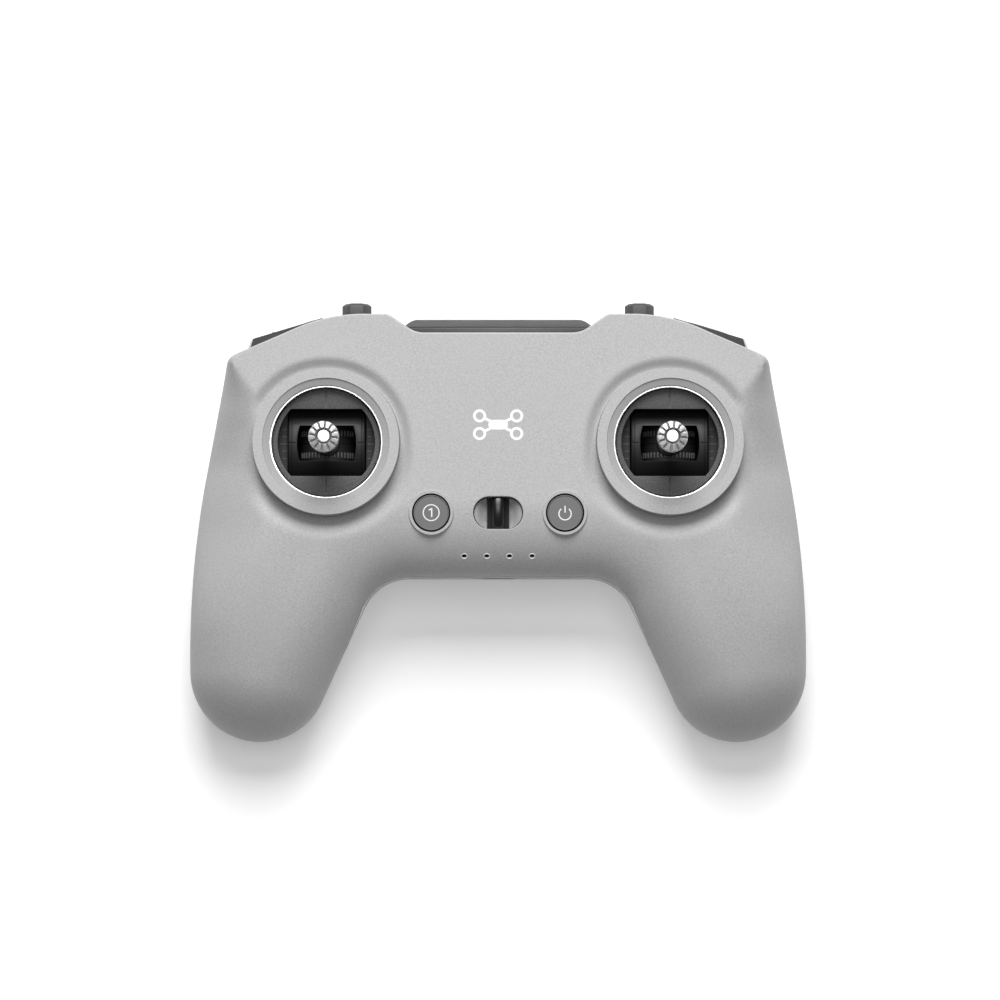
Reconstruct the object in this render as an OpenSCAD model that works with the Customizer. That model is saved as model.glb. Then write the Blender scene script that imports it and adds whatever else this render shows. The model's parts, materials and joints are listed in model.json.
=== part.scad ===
// Handheld radio transmitter: two gimbal sticks, push buttons, toggles and a dial in a two-part casing.
// The part lies on its back: +Z is out of the face, +Y is the shoulder side, X runs across the grips.
// The origin is under the middle of the outline, on the table.

/* [Casing] */
// Width across the grips
body_w = 165; // [162:0.5:168]
// Height of the face above the table
face_z = 40; // [39:0.5:41]
// Thickness of both casing walls
wall = 2.2; // [1.8:0.1:2.4]
// Height of the parting line at the shoulders
part_z = 24; // [23:0.5:25]

/* [Sticks] */
// Distance of each stick from the middle
stick_x = 45.5; // [45:0.5:46]
// Height of the stick tips above the table
tip_z = 62; // [58:0.5:62]
// Radius of the stick cap
cap_r = 4.1; // [3.8:0.1:4.4]
// Height of the raised collar round each stick
collar_h = 3.2; // [2.6:0.1:3.6]

/* [Buttons] */
// Radius of the two face buttons
button_r = 4.85; // [4.6:0.05:4.9]
// Travel of the face buttons
button_travel = 0.6; // [0.4:0.1:0.6]
// Radius of the lanyard bar
bar_r = 1.45; // [1.3:0.05:1.5]

/* [Hidden] */
$fn = 64;

// Corners of the right half of the outline: [x, y, radius, 1 for a bulge or -1 for a hollow].
half_w = body_w / 2;
top_y = 50.1;
notch_y = -15.6;
grip_y = -58.9;
grip_r = 18.4;
corners = [
    [21.5, top_y, 12, -1], [29.1, 55.1, 3, 1], [45.3, 55.1, 45, 1], [half_w - 10.3, 43.2, 4, 1],
    [half_w, -13.3, 280, 1], [half_w, grip_y, grip_r, 1], [half_w - 30.2, grip_y, grip_r, 1],
    [32, notch_y, 13, -1]
];
arc_step = 10;

// Casing surfaces
stations = 52;
rows = 16;
gap = 0.1;
bend_y = 9.5;
part_bend = 0.0026;
face_bend = 0.0035;
face_bend_y = 4.5;
rear_z = 6;
hump = [0, 25, 36, 21];
hump_edge = 8;
grip_bulge = [62, -26.5, 21, 31];
grip_bulge_edge = 13;
grip_low_z = 0.6;

// Controls
well_y = 19.9;
well_r = 15.3;
pivot_z = 25;
collar_r = 19.35;
collar_flat_r = 16.8;
cover_z = 37.8;
row_y = 1.2;
key_x = 17.7;
slot_l = 13.1;
slot_w = 8.5;
bar_z = 37.7;
bar_tilt = 9.3;
bar_end_r = 0.9;
bar_end_l = 10.4;
cup_top_z = 36.4;
cup_tilt = 13;
led_y = -10.1;
led_pitch = 6;
led_r = 0.65;
toggle_x = 38;
toggle_z = 18;
toggle_pivot_y = 49.3;
board_z = 29.2;
board_t = 1.2;
cell_r = 8.35;
cell_l = 65;
cell_y = -1.9;
cell_z = 18.2;
usb_z = 24.9;
post_xy = [[29, 42.6], [66, 2.5], [64.5, -49]];
lug_xy = [17.2, 9.4];
lug_z = 31;
spring_xy = [[-5, 17.2], [7, 17.2]];
shoulder_angle = 16.8;
shoulder_mid = [56.35, 51.85];

// ---------- Functions ----------
function clamp01(t) = min(1, max(0, t));
function ease(a, b, t) = let (u = clamp01((t - a) / (b - a))) u * u * (3 - 2 * u);
function mix(a, b, t) = a + (b - a) * t;
function unit(v) = v / norm(v);
function at2(v) = [v[0], v[1]];

// Points of one rounded corner of the outline, moved inwards by inset.
function corner_arc(p0, p1, p2, inset) =
    let (
        u = unit(at2(p0) - at2(p1)), v = unit(at2(p2) - at2(p1)),
        inner = acos(u * v), r = p1[2],
        c = at2(p1) + unit(u + v) * r / sin(inner / 2),
        a = at2(p1) + u * r / tan(inner / 2) - c, b = at2(p1) + v * r / tan(inner / 2) - c,
        a0 = atan2(a[1], a[0]), turn = atan2(a[0] * b[1] - a[1] * b[0], a * b),
        n = max(3, ceil(abs(turn) / arc_step))
    )
    [for (k = [0:n]) c + (r - p1[3] * inset) * [cos(a0 + turn * k / n), sin(a0 + turn * k / n)]];

// Right half of the outline, from the middle of the top edge round the grip to the middle of the notch.
function half_path(inset) =
    let (ring = concat([[0, top_y]], corners, [[0, notch_y]]))
    concat(
        [[0, top_y - inset]],
        [for (i = [1:len(corners)]) each corner_arc(ring[i - 1], ring[i], ring[i + 1], inset)],
        [[0, notch_y + inset]]
    );
outer_path = half_path(0);
inner_path = half_path(wall);

// Upper and lower edge of a half outline as tables of x and y.
function tip_index(path) = [for (i = [1:len(path) - 1]) if (path[i][0] >= path[i - 1][0]) i][
    len([for (i = [1:len(path) - 1]) if (path[i][0] >= path[i - 1][0]) i]) - 1];
function upper_edge(path) = [for (i = [0:tip_index(path) - 1]) path[i]];
function lower_edge(path) = [for (i = [len(path) - 1:-1:tip_index(path)]) path[i]];

// Distance from a point of the right half to the outline.
function to_segment(p, a, b) = norm(p - a - (b - a) * clamp01(((p - a) * (b - a)) / ((b - a) * (b - a))));
function edge_distance(p) =
    min([for (i = [1:len(outer_path) - 1]) to_segment(p, outer_path[i - 1], outer_path[i])]);

// Quarter-round profile: 0 at the edge, 1 from the inner end of the rounding.
function rounding(t) = sqrt(max(0, 1 - pow(1 - clamp01(t), 2)));

// Flat-topped bump with soft sides: 1 on top, 0 outside.
function plateau(x, y, b, edge) =
    ease(0, edge, b[2] - abs(x - b[0])) * ease(0, edge, b[3] - abs(y - b[1]));

function parting(y) = part_z - part_bend * pow(max(0, bend_y - y), 2);
function face(y) = face_z - face_bend * pow(max(0, face_bend_y - y), 2);
function back(x, y) = rear_z - rear_z * plateau(x, y, hump, hump_edge)
    - (rear_z - grip_low_z) * plateau(x, y, grip_bulge, grip_bulge_edge);
function face_round(x, y) =
    mix(mix(14, 6, ease(28, 50, y)), 20, (1 - ease(28, 44, x)) * (1 - ease(4, 20, y)));
function back_round(x, y) = mix(mix(9, 14, ease(26, 44, x)), 5, ease(30, 46, y));

// Height of the casing over a point of the right half, with the surface moved inwards by t.
function front_height(x, y, t) =
    let (d = edge_distance([x, y]) - t)
    mix(parting(y), face(y) - t, rounding(d / face_round(x, y)));
function rear_height(x, y, t) =
    let (d = edge_distance([x, y]) - t)
    mix(parting(y) - gap, back(x, y) + t, rounding(d / back_round(x, y)));

// Lowest outer face height and highest outer back height round a boss of radius r.
function face_low(p, r) =
    min([for (a = [0:45:315]) front_height(p[0] + r * cos(a), p[1] + r * sin(a), 0)]);
function back_high(p, r) =
    max([for (a = [0:45:315]) rear_height(p[0] + r * cos(a), p[1] + r * sin(a), 0)]);
key_face_z = front_height(key_x, row_y, 0);
key_tilt = 0.5 * atan((front_height(key_x, row_y + 4, 0) - front_height(key_x, row_y - 4, 0)) / 8);

// Grid of points of one casing surface.
function grid(path, front, t) =
    let (hi = upper_edge(path), lo = lower_edge(path), reach = half_w - t - 0.01)
    [for (i = [0:stations]) let (x = reach * sin(180 * i / stations - 90), ax = abs(x))
        for (j = [0:rows]) let (
            y = mix(lookup(ax, lo), lookup(ax, hi), (1 - cos(180 * j / rows)) / 2),
            edge = i == 0 || i == stations || j == 0 || j == rows)
            [x, y, edge ? parting(y) - (front ? 0 : gap)
                : front ? front_height(ax, y, t) : rear_height(ax, y, t)]];

function cell_faces(a, b, c, d, flip) = flip ? [[a, c, b], [a, d, c]] : [[a, b, c], [a, c, d]];

// One casing wall as a closed solid: an outer and an inner surface joined along the parting line.
module casing(front) {
    w = rows + 1;
    n = (stations + 1) * w;
    skin = [for (s = [0, 1]) for (i = [0:stations - 1]) for (j = [0:rows - 1])
        let (a = s * n + i * w + j)
        each cell_faces(a, a + w, a + w + 1, a + 1, (s == 0) == front)];
    long_rim = [for (j = [0, rows]) for (i = [0:stations - 1]) let (a = i * w + j)
        each cell_faces(a, a + w, a + w + n, a + n, (j == 0) != front)];
    end_rim = [for (i = [0, stations]) for (j = [0:rows - 1]) let (a = i * w + j)
        each cell_faces(a, a + 1, a + 1 + n, a + n, (i == 0) == front)];
    polyhedron(
        points = concat(grid(outer_path, front, 0), grid(inner_path, front, wall)),
        faces = concat(skin, long_rim, end_rim), convexity = 8
    );
}

// ---------- Shared shapes ----------
module both() for (s = [-1, 1]) translate([s * stick_x, well_y, 0]) children();
module side_pair(x, y) for (s = [-1, 1]) translate([s * x, y, 0]) children();
module rod(z0, z1, r) translate([0, 0, z0]) cylinder(h = z1 - z0, r = r);
// Slot with round ends, l long and w wide.
module slot2d(l, w) {
    square([l - w, w], center = true);
    for (s = [-1, 1]) translate([s * (l - w) / 2, 0]) circle(d = w);
}
module box(x0, x1, y0, y1, z0, z1) translate([x0, y0, z0]) cube([x1 - x0, y1 - y0, z1 - z0]);

// Closed prism with rounded corners, from a list of [x, y, radius, bulge].
function rounded(list) = [for (i = [0:len(list) - 1])
    each corner_arc(list[(i + len(list) - 1) % len(list)], list[i], list[(i + 1) % len(list)], 0)];

// ---------- Casing ----------
module stick_collar() rotate_extrude() polygon([
    [well_r, face_z - 3.4], [collar_r + 1.1, face_z - 3.4], [collar_r + 0.3, face_z + collar_h - 0.4],
    [collar_r - 0.1, face_z + collar_h], [collar_flat_r, face_z + collar_h], [well_r, face_z + 0.6]
]);

module antenna_envelope(grow) {
    intersection() {
        rotate([90, 0, 90]) translate([0, 0, -26 - grow]) linear_extrude(52 + 2 * grow) polygon(rounded([
            [43.5 - grow, 7 - grow, 1, 1], [54 + grow, 7 - grow, 7, 1], [54 + grow, 25 + grow, 6, 1],
            [51.4 + grow, 29.8 + grow, 0.8, 1], [43.5 - grow, 29.8 + grow, 1, 1]]));
        linear_extrude(60) polygon(rounded([
            [-25.3 - grow, 43 - grow, 1, 1], [-25.3 - grow, 54.1 + grow, 4.5, 1],
            [25.3 + grow, 54.1 + grow, 4.5, 1], [25.3 + grow, 43 - grow, 1, 1]]));
    }
}

// Outline of a shoulder bezel on the right side.
bezel_corners = [
    [46.9, 54.7, 0.6, 1], [66, 48.93, 1.6, 1], [67.5, 45, 1.2, 1], [62, 41, 1, 1], [45.5, 47.1, 1, 1]
];
module bezel_envelope(grow) intersection() {
    translate([0, 0, 8 - grow]) linear_extrude(15.4 + 2 * grow)
        offset(delta = grow) polygon(rounded(bezel_corners));
    on_shoulder() rotate([90, 0, 90]) translate([0, 0, -16]) linear_extrude(32) polygon(rounded([
        [grow, -7.7 - grow, 4, 1], [grow, 7.7 + grow, 1.2, 1], [-14, 9, 1, 1], [-14, -9, 1, 1]]));
}

module front_shell() color("#c4c4c4") difference() {
    union() {
        casing(true);
        both() stick_collar();
        for (s = [-1, 1]) for (p = post_xy) translate([s * p[0], p[1], 0])
            rod(parting(p[1]) + 0.2, face_low(p, 3) - 0.8, 3);
        both() for (i = [-1, 1]) for (j = [-1, 1]) translate([i * lug_xy[0], j * lug_xy[1], 0])
            rod(lug_z + 2, face_z - 1.2, 2.4);
        on_keys() rod(-4.4, -1.4, button_r + 1.7);
    }
    both() rod(30, 50, well_r);
    on_keys() {
        rod(-9, 6, button_r + 0.25);
        translate([0, 0, -0.5]) cylinder(h = 2, r1 = button_r + 0.25, r2 = button_r + 2.9);
    }
    for (s = [-1, 1]) for (p = post_xy) translate([s * p[0], p[1], 0])
        rod(parting(p[1]), face_low(p, 3) - 3.4, 1);
    both() for (i = [-1, 1]) for (j = [-1, 1]) translate([i * lug_xy[0], j * lug_xy[1], 0])
        rod(lug_z, face_z - 3.6, 0.8);
    translate([0, row_y, 30]) linear_extrude(20) slot2d(slot_l, slot_w);
    along_bar() cylinder(h = bar_end_l + 0.4, r = bar_end_r, center = true);
    for (i = [-1.5:1:1.5]) translate([i * led_pitch, led_y, 0]) rod(28, 45, led_r);
    translate([0, -8, usb_z]) rotate([90, 0, 0]) linear_extrude(12) slot2d(9.4, 3.7);
    antenna_envelope(0.15);
}

module rear_shell() color("#bdbdbd") difference() {
    union() {
        casing(false);
        for (s = [-1, 1]) for (p = post_xy) translate([s * p[0], p[1], 0])
            rod(back_high(p, 3.4) + 0.8, parting(p[1]), 3.4);
    }
    for (s = [-1, 1]) for (p = post_xy) translate([s * p[0], p[1], 0]) {
        rod(-5, 30, 1.2);
        rod(-5, back_high(p, 2) + 2.6, 2.3);
    }
    side_pair(grip_bulge[0], grip_bulge[1]) translate([0, 0, -5]) linear_extrude(6.6) inlay_outline(0.1);
    both() for (p = spring_xy) translate([p[0], p[1], 0]) rod(-5, 12, 2.6);
    antenna_envelope(0.15);
    for (s = [0, 1]) mirror([s, 0, 0]) bezel_envelope(0.15);
    side_pair(toggle_x, 0) {
        box(-4.6, 4.6, 51.8, 60, toggle_z - 6, toggle_z + 6.5);
        box(-5.75, 5.75, 42, 51.85, toggle_z - 6.05, toggle_z + 5.75);
    }
    shoulder_frame(-1) on_shoulder() translate([dial_at[0], dial_at[1], -4])
        cylinder(h = 8, r = dial_r + 0.5);
    for (i = [-5:5]) translate([i * 5, 25, -1]) linear_extrude(5) rotate(90) slot2d(16, 1.6);
}

module inlay_outline(grow) rotate(90) slot2d(36 + 2 * grow, 16 + 2 * grow);
module grip_inlay(s) color("#5a5a5c") translate([s * grip_bulge[0], grip_bulge[1], 0])
    linear_extrude(1.5) inlay_outline(0);

module antenna_cover() color("#4c4c50") difference() {
    antenna_envelope(0);
    box(-23.4, 23.4, 40, 51.6, 9, 27.8);
}
module antenna_boards() color("#2c6a4a") for (s = [-1, 1])
    box(s * 12 - 9.5, s * 12 + 9.5, 50.8, 51.55, 11, 25);

module shoulder_frame(s) mirror([s < 0 ? 1 : 0, 0, 0]) children();
// Places children on the faces of the two face buttons, with Z out of the casing.
module on_keys() side_pair(key_x, row_y) translate([0, 0, key_face_z]) rotate([key_tilt, 0, 0]) children();
// Places children on the outer face of the right shoulder: X along the face, Y out of it.
module on_shoulder() translate([shoulder_mid[0], shoulder_mid[1], 15.7]) rotate(-shoulder_angle) children();

dial_at = [4.2, -5.9];
dial_r = 6.4;
pause_at = -6.2;
module left_shoulder_bezel() color("#3e3e42") shoulder_frame(-1) difference() {
    bezel_envelope(0);
    on_shoulder() {
        translate([dial_at[0], dial_at[1], -3.8]) cylinder(h = 7.6, r = dial_r + 0.35);
        translate([dial_at[0], dial_at[1], -9]) cylinder(h = 20, r = 1.1);
        translate([pause_at, 2, 0]) rotate([90, 0, 0]) cylinder(h = 14, r = 3.1);
    }
}
module right_shoulder_bezel() color("#3e3e42") difference() {
    bezel_envelope(0);
    on_shoulder() translate([0, 2, 0]) rotate([90, 0, 0]) linear_extrude(14) slot2d(13.4, 7.4);
}
module tilt_dial() color("#2e2e30") shoulder_frame(-1) on_shoulder() translate([dial_at[0], dial_at[1], -3.5])
    difference() {
        cylinder(h = 7, r = dial_r);
        translate([0, 0, -1]) cylinder(h = 9, r = 1.15);
        for (k = [0:23]) rotate(k * 15) translate([dial_r + 0.15, 0, -1]) cylinder(h = 9, r = 0.45);
    }
module dial_axle() color("#b8b8bc") shoulder_frame(-1) on_shoulder() translate([dial_at[0], dial_at[1], -7])
    cylinder(h = 14, r = 1.1);
module pause_button() color("#55555a") shoulder_frame(-1) on_shoulder()
    translate([pause_at, 0.5, 0]) rotate([90, 0, 0]) cylinder(h = 5, r = 2.9);
module record_button() color("#55555a") on_shoulder() translate([0, 0.5, 0]) rotate([90, 0, 0])
    linear_extrude(5) slot2d(13, 7);

module switch_plates() color("#3a3a3d") side_pair(toggle_x, 0) difference() {
    box(-5.6, 5.6, 51, 51.7, toggle_z - 5.9, toggle_z + 5.6);
    box(-4.2, 4.2, 50, 60, toggle_z - 5, toggle_z + 5);
}
module lever(s) color("#6a6a6e") translate([s * toggle_x, toggle_pivot_y, toggle_z]) difference() {
    union() {
        rotate([-90, 0, 0]) translate([0, 0, 2]) linear_extrude(6.8)
            polygon([[-3.85, 0], [-1.9, -2.9], [1.9, -2.9], [3.85, 0], [1.9, 2.9], [-1.9, 2.9]]);
        rotate([-90, 0, 0]) translate([0, 0, 8.8]) linear_extrude(0.7, scale = 0.72)
            polygon([[-3.85, 0], [-1.9, -2.9], [1.9, -2.9], [3.85, 0], [1.9, 2.9], [-1.9, 2.9]]);
        rotate([0, 90, 0]) cylinder(h = 5, r = 2.6, center = true);
    }
    rotate([0, 90, 0]) cylinder(h = 12, r = 1.05, center = true);
}
module switch_pins() color("#c8c8cc") side_pair(toggle_x, toggle_pivot_y) translate([0, 0, toggle_z])
    rotate([0, 90, 0]) cylinder(h = 10, r = 1, center = true);
module switch_bases() color("#2f2f33") side_pair(toggle_x, toggle_pivot_y) difference() {
    box(-5, 5, -6, 1.65, toggle_z - 5.9, toggle_z + 5.6);
    box(-3.2, 3.2, -4, 5, toggle_z - 5, toggle_z + 5);
    translate([0, 0, toggle_z]) rotate([0, 90, 0]) cylinder(h = 12, r = 1, center = true);
}

module adjuster_plugs() color("#48484a") both() for (p = spring_xy) translate([p[0], p[1], 0])
    difference() {
        rod(5.6, 8, 2.5);
        translate([0, 0, 5]) cylinder(h = 1, r = 1);
    }
module adjuster_screws() color("#9a9a9e") both() for (p = spring_xy) translate([p[0], p[1], 0]) difference() {
    rod(9, 13.5, 1.8);
    translate([0, 0, 8.9]) cylinder(h = 1.6, r = 0.9, $fn = 6);
}
module case_screws() color("#8c8c90") for (s = [-1, 1]) for (p = post_xy)
    let (seat = back_high(p, 2) + 2.6) translate([s * p[0], p[1], 0]) difference() {
        union() {
            rod(seat - 1.4, seat, 2.1);
            rod(seat - 0.1, parting(p[1]) + 6, 0.95);
        }
        translate([0, 0, seat - 1.5]) cylinder(h = 1, r = 0.9, $fn = 6);
    }

// ---------- Electronics ----------
module main_board() color("#1f5c3c") difference() {
    union() {
        translate([0, 0, board_z]) linear_extrude(board_t) polygon(rounded([
            [-25.3, 38, 2, 1], [-23, 42.5, 2, 1], [23, 42.5, 2, 1], [25.3, 38, 2, 1],
            [25.3, -10.1, 3, 1], [-25.3, -10.1, 3, 1]]));
        box(-6, 6, -10.1, -8.9, usb_z + 1.64, board_z + 0.2);
    }
    translate([0, 20, 20]) cylinder(h = 20, r = 1.5);
}
module rf_module() color("#a8a8ac") box(-17, 17, 18, 40, board_z - 4, board_z);
module buzzer() color("#26262a") translate([-20.6, 12, board_z - 3.2]) difference() {
    cylinder(h = 3.2, r = 4.5);
    translate([0, 0, -1]) cylinder(h = 2, r = 1);
}
module key_switches() color("#303034") side_pair(key_x, row_y + 6.4 * sin(key_tilt)) {
    translate([-2.6, -2.6, board_z + board_t]) cube([5.2, 5.2, 1.4]);
    rod(board_z + board_t + 1.3, board_z + board_t + 1.9, 1.3);
}
module light_pipes() color("#303030") for (i = [-1.5:1:1.5]) translate([i * led_pitch, led_y, 0])
    rod(board_z + board_t, front_height(abs(i) * led_pitch, led_y, 0) - 0.5, led_r - 0.05);
module usb_c_socket() color("#b4b4b8") translate([0, -9.1, usb_z]) rotate([90, 0, 0]) difference() {
    linear_extrude(5.2) slot2d(8.94, 3.26);
    translate([0, 0, 1.2]) linear_extrude(8) slot2d(8.3, 2.6);
}
module battery_cell() color("#3f6fa8") translate([0, cell_y, cell_z]) rotate([0, 90, 0])
    cylinder(h = cell_l, r = cell_r, center = true);
module battery_tray() color("#37373a") difference() {
    box(-32.6, 32.6, cell_y - 2.6, cell_y + 6.8, rear_z + wall + 0.4, cell_z - 3);
    translate([0, cell_y, cell_z]) rotate([0, 90, 0]) cylinder(h = cell_l + 0.2, r = cell_r + 0.1, center = true);
}

// ---------- Lanyard point ----------
// The cup and the bar lean with the face, which falls towards the notch.
module lanyard_cup() color("#8e8e90") translate([0, row_y, cup_top_z]) rotate([cup_tilt, 0, 0]) difference() {
    translate([0, 0, -4.9]) linear_extrude(4.9) slot2d(slot_l + 2, slot_w + 2);
    intersection() {
        translate([0, 0, -6]) linear_extrude(8) slot2d(slot_l, slot_w);
        translate([0, 0, 10]) rotate([90, 0, 0]) cylinder(h = 14, r = 14, center = true);
    }
}
module along_bar() translate([0, row_y, bar_z]) rotate([90 + bar_tilt, 0, 0]) children();
module lanyard_bar() color("#2a2a2c") along_bar() {
    cylinder(h = slot_w - 0.5, r = bar_r, center = true);
    cylinder(h = bar_end_l, r = bar_end_r, center = true);
}

// ---------- Face buttons ----------
module face_button(s) color("#7c7c7e") translate([s * key_x, row_y, key_face_z]) rotate([key_tilt, 0, 0]) {
    rod(-0.5, -0.05, button_r - 0.25);
    rod(-5.4, -0.3, button_r);
    rod(-5.8, -4.8, button_r + 0.8);
    rod(-6.6, -5.7, 1.4);
}

// ---------- Stick gimbals ----------
module gimbal(s) translate([s * stick_x, well_y, 0]) children();
axle_r = 1.5;
cross_r = 1.3;
drum_r = 12;
drum_half = 10.25;
module gimbal_frame() color("#2b2b2e") difference() {
    union() {
        box(-14.8, 14.8, -13.1, 13.1, 12, 36.2);
        rod(36.2, 37.7, well_r - 0.2);
        for (i = [-1, 1]) for (j = [-1, 1]) translate([i * lug_xy[0], j * lug_xy[1], 0]) {
            rod(lug_z, lug_z + 2, 2.6);
            box(i > 0 ? -3.2 : 0, i > 0 ? 0 : 3.2, -2.6, 2.6, lug_z, lug_z + 2);
        }
    }
    box(-10.9, 10.9, -12.4, 12.4, 13.5, 34);
    box(-13.4, 13.4, -9.6, 9.6, 33, 40);
    box(-10.9, 10.9, -10.8, 10.8, 33, 36.4);
    translate([0, 0, pivot_z]) rotate([0, 90, 0]) cylinder(h = 40, r = 3, center = true);
    for (i = [-1, 1]) for (j = [-1, 1]) translate([i * lug_xy[0], j * lug_xy[1], 0]) rod(20, 50, 1);
}
module gimbal_cover() color("#565658") difference() {
    translate([0, 0, cover_z]) cylinder(h = 1, r = 14.3);
    intersection() {
        rod(30, 45, 12.9);
        box(-20, 20, -8.9, 8.9, 30, 45);
    }
}
module trim_ring() color("#f0f0f0") rotate_extrude() polygon([
    [14.4, cover_z], [15.2, cover_z], [15.2, face_z + 0.5], [14.95, face_z + 0.5], [14.4, face_z - 0.6]
]);
module gimbal_bearings() color("#c0c0c4") for (s = [-1, 1]) translate([s * 12.9, 0, pivot_z]) rotate([0, 90, 0])
    difference() {
        cylinder(h = 3, r = 3, center = true);
        cylinder(h = 4, r = axle_r + 0.04, center = true);
    }
module yoke() color("#222224") translate([0, 0, pivot_z]) difference() {
    union() {
        rotate([0, 90, 0]) cylinder(h = 2 * drum_half, r = drum_r, center = true);
        rotate([0, 90, 0]) cylinder(h = 28.4, r = axle_r, center = true);
    }
    rotate([0, 90, 0]) cylinder(h = 2 * drum_half - 3, r = drum_r - 1.6, center = true);
    box(-7.85, 7.85, -4.7, 4.7, 0, 20);
    box(-20, 20, -20, 20, -20, -4);
    rotate([90, 0, 0]) cylinder(h = 40, r = cross_r + 0.04, center = true);
}
module hub() color("#1c1c1e") difference() {
    translate([0, 0, pivot_z]) rotate([90, 0, 0]) {
        cylinder(h = 13, r = 7.7, center = true);
        cylinder(h = 23.2, r = cross_r, center = true);
    }
    rod(pivot_z + 4, pivot_z + 10, 1.9);
}
module stick_shaft() color("#8a8a8e") rod(pivot_z + 4, tip_z - 3, 1.9);
module stick_cap() color("#dcdcde") difference() {
    union() {
        rod(45, 55, 3);
        translate([0, 0, 55]) cylinder(h = 2, r1 = 3, r2 = cap_r);
        rod(57, tip_z - 1, cap_r);
        for (k = [0:11]) rotate(k * 30 + 8) translate([2.95, 0, tip_z - 1]) cylinder(h = 1, r1 = 1, r2 = 0.55, $fn = 24);
    }
    rod(40, tip_z - 3, 1.9);
    rod(tip_z - 3.1, 70, 1.75);
}
module stick_pin() color("#f4f4f4") rod(tip_z - 3, tip_z - 0.4, 1.65);
module gimbal_sensor() color("#1f5c3c") box(14.9, 16, -4.5, 4.5, pivot_z - 5, pivot_z + 5);

module centering_levers() color("#3c3c40") for (p = spring_xy) translate([p[0], p[1], 0]) difference() {
    box(-2.2, 2.2, -2.8, 1, 29, 30.6);
    rod(20, 40, 0.5);
}
// Extension spring as a swept round wire.
coil_turns = 7;
coil_steps = 9;
wire_sides = 5;
module coil_spring(z0, z1, r, wire) {
    n = coil_turns * coil_steps;
    ring = [for (k = [0:n]) let (a = 360 * k / coil_steps, z = mix(z0, z1, k / n))
        for (m = [0:wire_sides - 1]) let (b = 360 * m / wire_sides)
            [(r + wire * cos(b)) * cos(a), (r + wire * cos(b)) * sin(a), z + wire * sin(b)]];
    side = [for (k = [0:n - 1]) for (m = [0:wire_sides - 1])
        let (a = k * wire_sides + m, b = k * wire_sides + (m + 1) % wire_sides)
        each cell_faces(a, b, b + wire_sides, a + wire_sides, true)];
    polyhedron(points = ring, faces = concat(side,
        [[for (m = [0:wire_sides - 1]) m]],
        [[for (m = [wire_sides - 1:-1:0]) n * wire_sides + m]]));
}
module centering_springs() color("#d0d0d4") for (p = spring_xy) translate([p[0], p[1], 0])
    coil_spring(13.9, 28.6, 1.5, 0.28);
module gimbal_screws() color("#8c8c90") both() for (i = [-1, 1]) for (j = [-1, 1])
    translate([i * lug_xy[0], j * lug_xy[1], 0]) {
        rod(lug_z - 1.3, lug_z, 1.7);
        rod(lug_z, lug_z + 5, 0.78);
    }

front_shell();
rear_shell();
antenna_cover();
antenna_boards();
left_shoulder_bezel();
right_shoulder_bezel();
switch_plates();
grip_inlay(-1);  // left_grip_inlay
grip_inlay(1);  // right_grip_inlay
adjuster_plugs();
adjuster_screws();
case_screws();
main_board();
rf_module();
buzzer();
key_switches();
light_pipes();
usb_c_socket();
battery_cell();
battery_tray();
lanyard_cup();
lanyard_bar();
gimbal_screws();
gimbal(-1) gimbal_frame();  // left_gimbal_frame
gimbal(-1) gimbal_cover();  // left_gimbal_cover
gimbal(-1) trim_ring();  // left_trim_ring
gimbal(-1) gimbal_bearings();  // left_gimbal_bearings
gimbal(-1) centering_levers();  // left_centering_levers
gimbal(-1) centering_springs();  // left_centering_springs
gimbal(-1) gimbal_sensor();  // left_gimbal_sensor
gimbal(-1) yoke();  // left_yoke
gimbal(-1) hub();  // left_hub
gimbal(-1) stick_shaft();  // left_stick_shaft
gimbal(-1) stick_cap();  // left_stick_cap
gimbal(-1) stick_pin();  // left_stick_pin
gimbal(1) gimbal_frame();  // right_gimbal_frame
gimbal(1) gimbal_cover();  // right_gimbal_cover
gimbal(1) trim_ring();  // right_trim_ring
gimbal(1) gimbal_bearings();  // right_gimbal_bearings
gimbal(1) centering_levers();  // right_centering_levers
gimbal(1) centering_springs();  // right_centering_springs
gimbal(1) gimbal_sensor();  // right_gimbal_sensor
gimbal(1) yoke();  // right_yoke
gimbal(1) hub();  // right_hub
gimbal(1) stick_shaft();  // right_stick_shaft
gimbal(1) stick_cap();  // right_stick_cap
gimbal(1) stick_pin();  // right_stick_pin
face_button(-1);  // function_button
face_button(1);  // power_button
pause_button();
record_button();
lever(-1);  // mode_switch_lever
lever(1);  // option_switch_lever
switch_pins();
switch_bases();
tilt_dial();
dial_axle();
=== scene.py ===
import json
import math

import bmesh
import bpy
import numpy as np
from mathutils import Matrix, Vector
from mathutils.geometry import delaunay_2d_cdt


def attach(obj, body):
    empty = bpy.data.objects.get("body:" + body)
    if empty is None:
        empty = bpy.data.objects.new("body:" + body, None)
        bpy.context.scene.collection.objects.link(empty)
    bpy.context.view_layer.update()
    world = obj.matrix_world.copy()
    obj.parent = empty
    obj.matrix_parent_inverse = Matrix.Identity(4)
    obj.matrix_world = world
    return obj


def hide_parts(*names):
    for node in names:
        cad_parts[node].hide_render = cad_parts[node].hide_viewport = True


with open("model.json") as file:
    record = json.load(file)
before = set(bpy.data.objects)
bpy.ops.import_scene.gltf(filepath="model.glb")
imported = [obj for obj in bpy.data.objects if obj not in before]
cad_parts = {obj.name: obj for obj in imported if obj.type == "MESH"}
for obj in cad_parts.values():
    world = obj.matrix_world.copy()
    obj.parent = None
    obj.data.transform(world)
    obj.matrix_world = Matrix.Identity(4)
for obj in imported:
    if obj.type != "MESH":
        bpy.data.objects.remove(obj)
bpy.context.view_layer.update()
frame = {"nodes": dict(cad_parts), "record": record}
print("frame loaded")
mm = 0.001
root = "casing"


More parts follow.
